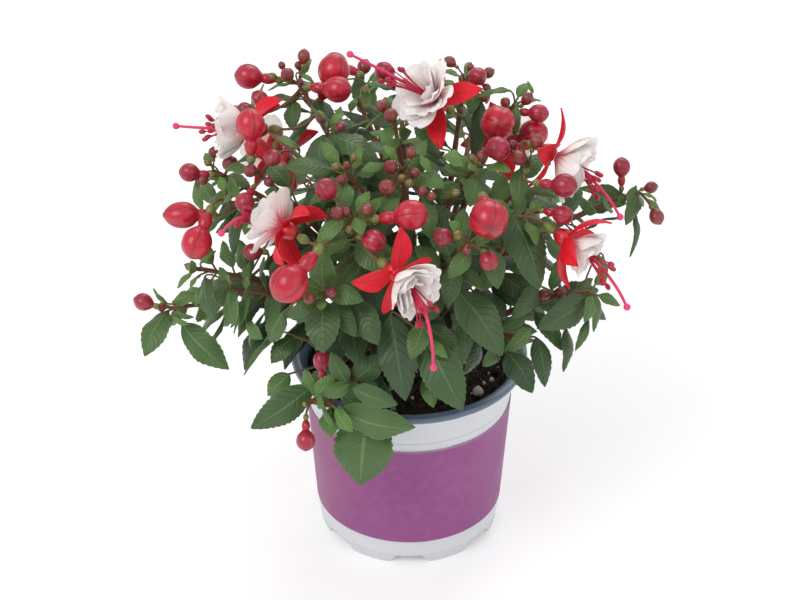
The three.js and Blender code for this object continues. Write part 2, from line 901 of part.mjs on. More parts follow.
// Soil: a body that fills the pot, its top heaped a little and roughened, with the stump's hole in it
function soilSolid() {
  const floor = FLOOR_HEIGHT + FLOOR_THICK + GAP;
  const wallAt = (z) => (ratio(FOOT_RADIUS, COLLAR_RADIUS, z / COLLAR_TOP) - WALL - GAP) * SOIL_SLACK;
  const heightAt = (x, y) => {
    const fromAxis = Math.hypot(x, y) / BORE_RADIUS;
    const lumps = Math.sin(x * 0.37 + 1.3) * Math.sin(y * 0.41 + 0.4) + Math.sin(x * 0.83 - y * 0.71);
    return SOIL_TOP + SOIL_HEAP * (1 - fromAxis ** 2) + SOIL_ROUGHNESS * lumps;
  };
  const circle = (radius, height) =>
    Array.from({ length: SOIL_SIDES }, (_, i) => {
      const a = (2 * Math.PI * i) / SOIL_SIDES;
      const [x, y] = [radius * Math.cos(a), radius * Math.sin(a)];
      return vec(x, y, height ?? heightAt(x, y));
    });
  const rings = [[vec(0, 0, floor)], circle(wallAt(floor), floor)];
  for (let i = SOIL_RINGS; i > 0; i--) {
    rings.push(circle((wallAt(SOIL_TOP - 2) * i) / SOIL_RINGS));
  }
  rings.push([vec(0, 0, heightAt(0, 0))]);
  let soil = loft(rings);
  for (const [x, y, size] of GRAINS) {
    const place = vec(x, y, heightAt(x, y));
    const grain = [
      [0, -size],
      [size * 0.8, -size * 0.4],
      [size * 0.7, size * 0.4],
      [0, size * 0.7],
    ];
    soil = soil.add(turnedSolid(grain, 5, place, UP));
  }
  const hole = [
    [0, STUMP_FOOT - GAP],
    [HOLE_RADIUS, STUMP_FOOT - GAP],
    [HOLE_RADIUS, STUMP_TOP + 9],
    [0, STUMP_TOP + 9],
  ];
  return soil.subtract(turnedSolid(hole, 8, vec(0, 0, 0), UP));
}

// Stump and limbs
const limbCurves = {};
for (const [name, end] of Object.entries(LIMBS)) {
  const to = vec(...end);
  const from = vec(0, 0, STUMP_TOP - LIMB_DEPTH);
  const bend = from.clone().lerp(to, LIMB_BEND);
  bend.add(vec(to.x * LIMB_SPREAD, to.y * LIMB_SPREAD, LIMB_LIFT));
  limbCurves[name] = new THREE.QuadraticBezierCurve3(from, bend, to);
}

function crownSolid() {
  const stump = [
    [0, STUMP_FOOT],
    [STUMP_RADIUS * 0.9, STUMP_FOOT],
    [STUMP_RADIUS, STUMP_TOP - 14],
    [STUMP_RADIUS * 0.95, STUMP_TOP - 3],
    [0, STUMP_TOP],
  ];
  const pieces = [turnedSolid(stump, 7, vec(0, 0, 0), UP)];
  for (const curve of Object.values(limbCurves)) {
    pieces.push(tapered(curve.getPoints(LIMB_STEPS), LIMB_START_RADIUS, LIMB_END_RADIUS, 4));
  }
  return fused(pieces);
}

// A spray's stem starts by its limb, as near as it can stand clear of what is there already
const grown = [crownSolid()];

function stemCurve(spray) {
  const limb = limbCurves[spray.limb];
  const at = limb.getPoint(spray.along);
  const tip = seen(spray.tip, spray.behind);
  const bend = at.clone().lerp(tip, 0.5).add(vec(0, 0, STEM_LIFT));
  const away = bend.clone().sub(at).normalize();
  for (let reach = 1; ; reach += START_STEP) {
    const start = at.clone().addScaledVector(away, reach);
    const curve = new THREE.QuadraticBezierCurve3(start, bend, tip);
    const points = curve.getPoints(STEM_STEPS);
    points[0].addScaledVector(away, -GAP);
    const room = tapered(points, STEM_START_RADIUS + GAP, STEM_END_RADIUS + GAP, STEM_SIDES);
    if (reach < FARTHEST_START && grown.some((other) => other.intersect(room).volume() > 0)) continue;
    grown.push(tapered(curve.getPoints(STEM_STEPS), STEM_START_RADIUS, STEM_END_RADIUS, STEM_SIDES));
    return curve;
  }
}

// Blade of a leaf. Its frame: along it, across it, and out of its upper face
function leafFrame(leaf) {
  const along = leaf.tip.clone().sub(leaf.base);
  const length = along.length();
  along.normalize();
  const middle = leaf.base.clone().lerp(leaf.tip, 0.5).sub(BUSH_CENTRE);
  const facing = middle.divide(BUSH_AXES).divide(BUSH_AXES).normalize();
  facing.addScaledVector(UP, LEAF_LIGHT);
  facing.addScaledVector(along, -facing.dot(along)).normalize();
  facing.applyAxisAngle(along, THREE.MathUtils.degToRad(leaf.roll));
  const side = vec(0, 0, 0).crossVectors(facing, along);
  return { along, length, side, facing };
}

// Half the blade's width at a share of its length: full below the middle, drawn out to a point
function leafOutline(share) {
  const widest = LEAF_SWELL / (LEAF_SWELL + LEAF_TAPER);
  const peak = widest ** LEAF_SWELL * (1 - widest) ** LEAF_TAPER;
  return (share ** LEAF_SWELL * (1 - share) ** LEAF_TAPER) / peak;
}

// A point of the blade: share is along it, from 0 to 1, and across is from -1 to 1
function leafPoint(leaf, frame, share, across) {
  const half = (leaf.width / 2) * leafOutline(share);
  const wave = LEAF_RIPPLE * Math.sin(2 * Math.PI * RIPPLE_TURNS * share + across);
  const arch = LEAF_ARCH * frame.length * Math.sin(Math.PI * share);
  const out = arch - half * Math.abs(across) * (LEAF_FOLD + wave);
  return leaf.base
    .clone()
    .addScaledVector(frame.along, share * frame.length)
    .addScaledVector(frame.side, across * half)
    .addScaledVector(frame.facing, out);
}

// Where a stalk bends, if it comes from beside the blade's foot or from before it: it swings in from behind
// and under the blade
function stalkBend(leaf, frame) {
  const reach = leaf.base.clone().sub(leaf.root);
  const far = reach.length();
  if (reach.dot(frame.along) > BENT_BELOW * far) return null;
  return leaf.base
    .clone()
    .addScaledVector(frame.along, -BEND_BACK * far)
    .addScaledVector(frame.facing, -BEND_UNDER * far);
}

// Its rings hold the two edges and the midrib between them. A bent stalk is a tube of its own
function leafSolid(leaf) {
  const frame = leafFrame(leaf);
  const shares = leaf.width < WIDE_LEAF ? FEW_STATIONS : STATIONS;
  const petiole = (p, side, facing) => [
    p.clone().addScaledVector(side, -PETIOLE_HALF).addScaledVector(facing, -PETIOLE_HALF / 2),
    p.clone().addScaledVector(facing, PETIOLE_HALF),
    p.clone().addScaledVector(side, PETIOLE_HALF).addScaledVector(facing, -PETIOLE_HALF / 2),
  ];
  const bent = stalkBend(leaf, frame);
  const rings = [];
  if (!bent) {
    const reach = leaf.base.clone().sub(leaf.root).normalize();
    const side = frame.side.clone().addScaledVector(reach, -frame.side.dot(reach)).normalize();
    rings.push(petiole(leaf.root, side, vec(0, 0, 0).crossVectors(reach, side)));
  }
  if (bent || leaf.width > NARROW_LEAF) rings.push(petiole(leaf.base, frame.side, frame.facing));
  for (const share of shares) {
    rings.push([
      leafPoint(leaf, frame, share, -1),
      leafPoint(leaf, frame, share, 0).addScaledVector(frame.facing, LEAF_THICK),
      leafPoint(leaf, frame, share, 1),
    ]);
  }
  rings.push([leafPoint(leaf, frame, 1, 0)]);
  const blade = loft(rings);
  if (!bent) return blade;
  const end = leaf.base.clone().addScaledVector(frame.along, BENT_INTO);
  const line = curvePoints(leaf.root, bent, end, BENT_STEPS);
  return fused([blade, tapered(line, PETIOLE_HALF, PETIOLE_HALF, 3)]);
}

function leafSamples(leaf) {
  const frame = leafFrame(leaf);
  const alongSteps = Math.ceil(frame.length / SAMPLE_STEP);
  const acrossSteps = Math.max(2, Math.ceil(leaf.width / SAMPLE_STEP));
  const points = [];
  for (let i = 1; i <= alongSteps; i++) {
    const share = ratio(0.1, 1, i / alongSteps);
    for (let j = 0; j <= acrossSteps; j++) {
      points.push(leafPoint(leaf, frame, share, -1 + (2 * j) / acrossSteps));
    }
  }
  return points;
}

// Where a leaf grows from its stem: near the foot of its blade, and behind it rather than before it
function leafRoot(nodes, base, tip) {
  const along = tip.clone().sub(base).normalize();
  const cost = (node) => {
    const reach = base.clone().sub(node);
    return reach.length() * ROOT_SLACK - reach.dot(along);
  };
  return nodes.reduce((best, node) => (cost(node) < cost(best) ? node : best));
}

function petioleSamples(leaf) {
  const bent = stalkBend(leaf, leafFrame(leaf));
  if (bent) return curvePoints(leaf.root, bent, leaf.base, BENT_SAMPLES).slice(BENT_SAMPLES / 4);
  return [0.4, 0.7, 1].map((share) => leaf.root.clone().lerp(leaf.base, share));
}

// Buds. Profiles are in radii of the bud, along the way it points, from its middle
const BUD_PROFILES = {
  long: [
    [0.24, -2.5],
    [0.3, -2.1],
    [0.4, -1.1],
    [0.95, -0.4],
    [0.92, 0.35],
    [0, 1.12],
  ],
  round: [
    [0.45, -1.05],
    [1, -0.1],
    [0.74, 0.62],
    [0, 1.12],
  ],
  opening: [
    [0.28, -2.4],
    [0.3, -1.8],
    [0.5, -1],
    [0.95, -0.3],
    [0.9, 0.6],
    [0, 1.55],
  ],
};
const LARGE_BUD = 12;

// A body on a stalk, as one loft: the stalk leaves the stem and comes up behind the body
function stalkedSolid(stem, middle, direction, profile, sides) {
  const along = (height) => middle.clone().addScaledVector(direction, height);
  const back = along(profile[0][1]);
  const root = nearest(stem, along(profile[0][1] - 6));
  const bend = along(profile[0][1] - 0.45 * root.distanceTo(back));
  const halfway = new THREE.QuadraticBezierCurve3(root, bend, back).getPoint(0.5);
  const points = [root, halfway, ...profile.map(([, height]) => along(height))];
  const radii = [STALK_RADIUS * STALK_ROOT, STALK_RADIUS, ...profile.map(([radius]) => radius)];
  return { solid: stemSolid(points, radii, sides), stalk: [root, halfway, back] };
}

// Blooms. Their frame: the way they open, and two square to it
function bloomFrame(bloom) {
  const axis = way(bloom.opens, bloom.behind);
  const first = VIEW_UP.clone().addScaledVector(axis, -VIEW_UP.dot(axis)).normalize();
  first.applyAxisAngle(axis, THREE.MathUtils.degToRad(bloom.turn));
  return { mouth: seen(bloom.mouth, bloom.behind), axis, first };
}

// A line in a plane through the bloom's axis: radius and height, bending from one angle to another
function bentLine(startRadius, startHeight, length, bend, steps) {
  const line = [];
  let [radius, height] = [startRadius, startHeight];
  for (let i = 0; i <= steps; i++) {
    const angle = THREE.MathUtils.degToRad(ratio(bend[0], bend[1], i / steps));
    line.push({ radius, height, angle });
    radius += (Math.sin(angle) * length) / steps;
    height += (Math.cos(angle) * length) / steps;
  }
  return line;
}

// A sepal or petal on such a line. Widths are given at the line's points, and twist tucks one edge under
// the next petal's.
function petalSolid(frame, azimuth, line, widths, thick, twist) {
  const outwards = frame.first.clone().applyAxisAngle(frame.axis, azimuth);
  const tangent = vec(0, 0, 0).crossVectors(frame.axis, outwards);
  const rings = line.map(({ radius, height, angle }, i) => {
    const middle = frame.mouth
      .clone()
      .addScaledVector(outwards, radius)
      .addScaledVector(frame.axis, height);
    const normal = outwards
      .clone()
      .multiplyScalar(Math.cos(angle))
      .addScaledVector(frame.axis, -Math.sin(angle));
    if (widths[i] === 0) return [middle];
    const side = tangent.clone().multiplyScalar(Math.cos(twist)).addScaledVector(normal, Math.sin(twist));
    const cupped = middle.clone().addScaledVector(normal, (-PETAL_CUP * widths[i]) / 2);
    return [
      cupped.clone().addScaledVector(side, -widths[i] / 2),
      middle.clone().addScaledVector(normal, thick),
      cupped.clone().addScaledVector(side, widths[i] / 2),
    ];
  });
  return loft(rings);
}

function sepalLine(bloom) {
  return bentLine(MOUTH_RADIUS - 1, -SEPAL_DEPTH, bloom.sepal, bloom.bend, 3);
}

function petalLine(bloom, share) {
  const flare = [bloom.flare[0] * share, bloom.flare[1] * share];
  return bentLine(ratio(0.8, 1.9, share), 1, bloom.petal * ratio(0.8, 1, share), flare, 2);
}

function calyxSolid(bloom, frame) {
  const tube = [
    [0, -TUBE_LENGTH],
    [TUBE_BACK_RADIUS, -TUBE_LENGTH],
    [TUBE_RADIUS, -TUBE_LENGTH * 0.5],
    [MOUTH_RADIUS, 0],
    [0, 0],
  ];
  const pieces = [turnedSolid(tube, 6, frame.mouth, frame.axis)];
  for (let i = 0; i < 4; i++) {
    const widths = [4, SEPAL_WIDTH, SEPAL_WIDTH * 0.86, 0];
    pieces.push(petalSolid(frame, (i * Math.PI) / 2, sepalLine(bloom), widths, 0.7, 0));
  }
  return fused(pieces);
}

function corollaSolid(bloom, frame) {
  const disc = [
    [0, GAP],
    [DISC_RADIUS, GAP],
    [DISC_RADIUS, DISC_TOP],
    [0, DISC_TOP],
  ];
  const pieces = [turnedSolid(disc, 5, frame.mouth, frame.axis)];
  const widths = [1.8, PETAL_WIDTH, PETAL_WIDTH * 0.7];
  for (let i = 0; i < PETAL_COUNT; i++) {
    const azimuth = (i * 2 * Math.PI) / PETAL_COUNT + 0.4;
    pieces.push(petalSolid(frame, azimuth, petalLine(bloom, 1), widths, 0.7, PETAL_TWIST));
  }
  const innerWidths = [1.4, PETAL_WIDTH * 0.6, PETAL_WIDTH * 0.4];
  for (let i = 0; i < INNER_PETAL_COUNT; i++) {
    const azimuth = (i * 2 * Math.PI) / INNER_PETAL_COUNT + 0.9;
    pieces.push(petalSolid(frame, azimuth, petalLine(bloom, 0.55), innerWidths, 0.7, PETAL_TWIST));
  }
  return fused(pieces);
}

function styleCurve(bloom, frame) {
  const end = seen(bloom.styleEnd, bloom.behind);
  const start = frame.mouth.clone().addScaledVector(frame.axis, STYLE_FOOT);
  const bend = start.clone().addScaledVector(frame.axis, 0.5 * start.distanceTo(end));
  return new THREE.QuadraticBezierCurve3(start, bend, end);
}

function stamensSolid(bloom, frame) {
  const style = styleCurve(bloom, frame);
  const foot = frame.mouth.clone().addScaledVector(frame.axis, DISC_TOP + GAP);
  const end = style.getPoint(1);
  const forward = style.getTangent(1);
  const points = [foot, ...style.getPoints(3), end.clone().addScaledVector(forward, 2)];
  points.push(end.clone().addScaledVector(forward, 3.8));
  const pieces = [stemSolid(points, [1.3, 1.3, 0.8, 0.75, 0.7, STIGMA_RADIUS, 0], 4)];
  for (let i = 0; i < FILAMENT_COUNT; i++) {
    const azimuth = (i * 2 * Math.PI) / FILAMENT_COUNT + 0.3;
    const outwards = frame.first.clone().applyAxisAngle(frame.axis, azimuth);
    const start = frame.mouth.clone().addScaledVector(frame.axis, 4.5);
    const stop = style.getPoint(0.5 + 0.05 * (i % 3)).addScaledVector(outwards, 4.5 + (i % 2));
    const bend = start.clone().addScaledVector(frame.axis, 0.5 * start.distanceTo(stop));
    const line = curvePoints(start, bend, stop, 2);
    const direction = stop.clone().sub(line[1]).normalize();
    line.push(stop.clone().addScaledVector(direction, 3));
    pieces.push(stemSolid(line, [0.6, 0.5, 1.1, 0], 3));
  }
  return fused(pieces);
}

// The ovary behind the tube, from its back to its front
const OVARY_PROFILE = [
  [STALK_RADIUS, -OVARY_LENGTH],
  [OVARY_RADIUS, -OVARY_LENGTH * 0.5],
  [1.4, 0],
];

// What a bloom fills, as balls
function takeBloom(name, bloom, frame) {
  const at = (height) => frame.mouth.clone().addScaledVector(frame.axis, height);
  take([at(-TUBE_LENGTH * 0.8), at(-TUBE_LENGTH * 0.2)], TUBE_RADIUS, name, "bloom");
  take([at(-TUBE_LENGTH - OVARY_LENGTH / 2)], 3, bloom.spray, "ovary");
  const line = petalLine(bloom, 1);
  for (let i = 1; i < line.length; i++) {
    take([at(line[i].height)], line[i].radius + 1.5, name, "bloom");
  }
  const sepals = sepalLine(bloom);
  for (let i = 0; i < 4; i++) {
    const outwards = frame.first.clone().applyAxisAngle(frame.axis, (i * Math.PI) / 2);
    for (const { radius, height } of sepals.slice(1)) {
      take([at(height).addScaledVector(outwards, radius)], 4, name, "bloom");
    }
  }
  const style = styleCurve(bloom, frame);
  take(style.getPoints(12), 2.2, name, "bloom");
  take(style.getPoints(10).slice(3, 7), 6, name, "bloom");
}

// The bush: stems and stalks first, then buds and blooms, then the leaves
const stems = {};
const solids = {};
for (const [name, spray] of Object.entries(SPRAYS)) {
  const curve = stemCurve(spray);
  stems[name] = curve.getPoints(24);
  solids[name] = [tapered(curve.getPoints(STEM_STEPS), STEM_START_RADIUS, STEM_END_RADIUS, STEM_SIDES)];
  take(stems[name], STEM_START_RADIUS, name, "stalk");
}
for (const curve of Object.values(limbCurves)) {
  take(curve.getPoints(10), LIMB_START_RADIUS, "crown", "stalk");
}

const blooms = Object.entries(BLOOMS).map(([name, bloom]) => {
  return { name, bloom, frame: bloomFrame(bloom) };
});
for (const { name, bloom, frame } of blooms) {
  takeBloom(name, bloom, frame);
  const front = frame.mouth.clone().addScaledVector(frame.axis, -TUBE_LENGTH - GAP);
  const ovary = stalkedSolid(stems[bloom.spray].slice(8), front, frame.axis, OVARY_PROFILE, 5);
  solids[bloom.spray].push(ovary.solid);
  take(ovary.stalk, STALK_ROOM, bloom.spray, "stalk");
}

for (const [name, spray] of Object.entries(SPRAYS)) {
  for (const [across, up, towards, diameter, x, y, z, kind] of spray.buds) {
    const middle = seen([across, up, towards], spray.behind);
    const direction = way([x, y, z], spray.behind);
    const half = diameter / 2;
    const profile = BUD_PROFILES[kind].map(([radius, height]) => [radius * half, height * half]);
    const sides = diameter < LARGE_BUD ? 4 : 5;
    const bud = stalkedSolid(stems[name].slice(8), middle, direction, profile, sides);
    solids[name].push(bud.solid);
    take([middle], half, name, "bud");
    if (kind !== "round") {
      take([middle.clone().addScaledVector(direction, -1.4 * half)], half / 2, name, "bud");
    }
    take(bud.stalk, STALK_ROOM, name, "stalk");
  }
}

// The leaves placed by eye: one that would cross something moves in or out until it is clear
for (const [name, spray] of Object.entries(SPRAYS)) {
  spray.leaves.forEach((row, number) => {
    const nodes = stems[name].slice(6, stems[name].length - (number % 4));
    const leaf = {
      base: seen(row.slice(0, 3), spray.behind),
      tip: seen(row.slice(3, 6), spray.behind),
      width: row[6],
      roll: row[7],
    };
    const outwards = leafFrame(leaf).facing;
    const tries = MOVES.map((move) => {
      const base = leaf.base.clone().addScaledVector(outwards, move);
      const tip = leaf.tip.clone().addScaledVector(outwards, move);
      return { ...leaf, base, tip, root: leafRoot(nodes, base, tip) };
    });
    const fits = (moved, ownRadius) =>
      isClear(leafSamples(moved), SAMPLE_RADIUS, name, ownRadius) &&
      isClear(petioleSamples(moved), PETIOLE_ROOM, name, 0);
    const placed =
      tries.find((moved) => fits(moved, STEM_START_RADIUS + STEM_ROOM)) ??
      tries.find((moved) => fits(moved, 0));
    if (!placed) return;
    solids[name].push(leafSolid(placed));
    take(leafSamples(placed), SAMPLE_RADIUS, name, "leaf");
    take(petioleSamples(placed), PETIOLE_ROOM, name, "stalk");
  });
}

// The leaves placed by rule: pairs along each stem, each pair square to the one before
Object.entries(SPRAYS).forEach(([name, spray], number) => {
  const curve = new THREE.CatmullRomCurve3(stems[name]);
  const spacing = spray.behind ? BACK_LEAF_SPACING : LEAF_SPACING;
  const pairs = Math.floor((curve.getLength() * (1 - FIRST_LEAF)) / spacing);
  for (let pair = 0; pair < pairs; pair++) {
    const share = ratio(FIRST_LEAF, 0.97, pair / Math.max(1, pairs - 1));
    const root = curve.getPoint(share);
    const along = curve.getTangent(share);
    const [side, normal] = squareTo(along);
    for (let half = 0; half < 2; half++) {
      const draw = seeded(SEED + number * 1000 + pair * 10 + half);
      for (let attempt = 0; attempt < TRIES; attempt++) {
        const about = (pair % 2) * (Math.PI / 2) + half * Math.PI + number;
        const angle = about + (draw() - 0.5) * LEAF_SWING;
        const direction = side
          .clone()
          .multiplyScalar(Math.cos(angle))
          .addScaledVector(normal, Math.sin(angle))
          .addScaledVector(along, ratio(LEAF_RISE, LEAF_RISE_MOST, draw()))
          .normalize();
        const size = ratio(LEAF_LENGTH, TIP_LEAF_LENGTH, share ** 2) * ratio(0.85, 1.1, draw());
        const base = root.clone().addScaledVector(direction, PETIOLE);
        const tip = base.clone().addScaledVector(direction, size);
        tip.addScaledVector(UP, -size * LEAF_DROOP * draw());
        const leaf = { root, base, tip, width: size * LEAF_SHAPE, roll: (draw() - 0.5) * LEAF_ROLL };
        const blade = leafSamples(leaf);
        if (blade.some((p) => Math.hypot(p.x, p.y) < RIM_RADIUS + 2 && p.z < RIM_TOP + 2)) continue;
        if (!isClear(blade, SAMPLE_RADIUS, name, STEM_START_RADIUS + STEM_ROOM)) continue;
        if (!isClear(petioleSamples(leaf).slice(1), PETIOLE_ROOM, name, 0)) continue;
        solids[name].push(leafSolid(leaf));
        take(blade, SAMPLE_RADIUS, name, "leaf");
        break;
      }
    }
  }
});

// The parts, each with its material
const group = new THREE.Group();

function add(name, solid, color, roughness) {
  const material = new THREE.MeshStandardMaterial({ color, roughness, metalness: 0 });
  const mesh = new THREE.Mesh(geometryOf(solid), material);
  mesh.name = name;
  group.add(mesh);
}

add("pot", potSolid(), 0xe4e6ea, 0.45);
add("label_band", labelSolid(), 0x91598a, 0.4);
add("soil", soilSolid(), 0x2a1d16, 0.95);
add("crown", crownSolid(), 0x4a2f22, 0.85);
for (const name of Object.keys(SPRAYS)) add(`${name}_spray`, fused(solids[name]), 0x3f6130, 0.5);
for (const { name, bloom, frame } of blooms) {
  add(`${name}_calyx`, calyxSolid(bloom, frame), 0xd81f2e, 0.3);
  add(`${name}_corolla`, corollaSolid(bloom, frame), 0xf6eeee, 0.5);
  add(`${name}_stamens`, stamensSolid(bloom, frame), 0xd8285f, 0.35);
}

// The origin is under the middle of the whole plant, on the floor
const whole = new THREE.Box3().setFromObject(group).getCenter(vec(0, 0, 0));
group.position.set(-whole.x, -whole.y, 0);

export default group;
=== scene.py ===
import json
import math

import bpy
import numpy as np
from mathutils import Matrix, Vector

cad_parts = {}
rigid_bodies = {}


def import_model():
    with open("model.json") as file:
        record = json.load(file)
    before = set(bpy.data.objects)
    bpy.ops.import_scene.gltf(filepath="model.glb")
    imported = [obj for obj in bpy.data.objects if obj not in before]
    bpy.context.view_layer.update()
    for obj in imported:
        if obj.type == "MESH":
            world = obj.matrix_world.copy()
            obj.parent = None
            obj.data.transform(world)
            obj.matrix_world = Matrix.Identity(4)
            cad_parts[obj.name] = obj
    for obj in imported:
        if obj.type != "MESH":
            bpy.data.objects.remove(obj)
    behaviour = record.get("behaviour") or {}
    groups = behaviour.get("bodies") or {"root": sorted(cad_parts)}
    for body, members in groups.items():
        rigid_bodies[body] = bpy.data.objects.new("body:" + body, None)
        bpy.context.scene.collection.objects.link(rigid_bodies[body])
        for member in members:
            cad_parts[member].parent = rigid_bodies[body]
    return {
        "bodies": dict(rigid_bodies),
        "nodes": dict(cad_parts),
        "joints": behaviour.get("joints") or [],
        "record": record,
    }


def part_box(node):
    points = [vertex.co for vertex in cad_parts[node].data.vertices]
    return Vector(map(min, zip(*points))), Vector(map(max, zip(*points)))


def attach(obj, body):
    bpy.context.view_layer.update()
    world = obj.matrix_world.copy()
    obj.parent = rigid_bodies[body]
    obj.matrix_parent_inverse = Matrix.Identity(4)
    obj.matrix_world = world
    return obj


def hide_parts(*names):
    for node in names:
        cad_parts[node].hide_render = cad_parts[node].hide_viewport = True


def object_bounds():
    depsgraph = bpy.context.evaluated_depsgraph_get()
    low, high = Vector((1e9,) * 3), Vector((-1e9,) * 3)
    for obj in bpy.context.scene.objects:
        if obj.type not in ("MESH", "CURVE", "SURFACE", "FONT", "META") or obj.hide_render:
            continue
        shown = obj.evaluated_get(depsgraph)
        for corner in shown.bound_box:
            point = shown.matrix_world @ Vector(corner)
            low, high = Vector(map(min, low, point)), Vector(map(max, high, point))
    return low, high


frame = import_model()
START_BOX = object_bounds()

MM = 0.001

# Pot
RIM_RADIUS = 65
RIM_TOP = 110.6
LIP_DROP = 5
BORE_RADIUS = 60.2
WALL = 1.5
COLLAR_RADIUS = 57.6
COLLAR_TOP = 107
STEP_HEIGHT = 88
STEP = 0.5
FOOT_RADIUS = 50.4
FLOOR_HEIGHT = 6
FLOOR_THICK = 1.6
FOOT_WIDTH = 4
NOTCH_COUNT = 7
NOTCH_HEIGHT = 4.7
NOTCH_HALF_TOP = math.radians(8)
NOTCH_HALF_FOOT = math.radians(13.5)
FOOT_CORNERS = (0, 2.6, 5.2, 7.4, 8.3, 9.8, 11.7, 13.2, 14.2, 17, 19.5, 22.5)
DRAIN_COUNT = 4
DRAIN_RADIUS = 5
DRAIN_CIRCLE = 30

# Plain sleeve round the pot
LABEL_BOTTOM = 16.8
LABEL_TOP = 82.4
LABEL_THICK = 0.5
LABEL_SIDES = 144
GAP = 0.3

# Soil
SOIL_TOP = 101
SOIL_HEAP = 3
SOIL_ROUGHNESS = 1.1
GRAINS = [(37, -30, 3.2), (-18, -46, 2.4), (-39, 26, 2.6)]
SOIL_SLACK = 0.995
HOLE_RADIUS = 6.5
CRUMB = 1.1
CRUMB_COUNT = 340
FIBRE_COUNT = 60
SOIL_SIDES = 120
SOIL_RINGS = 44

# Stump and limbs, each from the stump to its end
STUMP_FOOT = 74
STUMP_TOP = 121
STUMP_RADIUS = 6
LIMB_FOOT = (0, 0, 114)
LIMB_RADII = (3.4, 2.3)
LIMB_BEND = 0.45
LIMB_SPREAD = 0.12
LIMB_LIFT = 7
LIMBS = {
    "left_low": (-42, -12, 140),
    "left": (-36, 2, 168),
    "back_left": (-25, 20, 188),
    "front_left": (-25, -37, 142),
    "front": (7, -38, 152),
    "right_front": (37, -27, 143),
    "right": (41, 3, 162),
    "back_right": (27, 19, 184),
    "top": (-1, -3, 198),
    "back": (2, 40, 160),
}

# The view: the sprays, buds, leaves and blooms were placed along it, each as how far it is across, up
# and towards the viewer from this point
VIEW_POINT = np.array((-5.0, 0.0, 143.0))
VIEW_TILT = math.radians(33.4)
VIEW_DISTANCE = 1200
FOCAL_PIXELS = 2217
PICTURE_WIDTH = 800

# The bush is an egg about this centre, and the upper faces of its leaves look out of it
BUSH_CENTRE = np.array((-3.0, 0.0, 175.0))
BUSH_AXES = np.array((122.0, 102.0, 92.0))

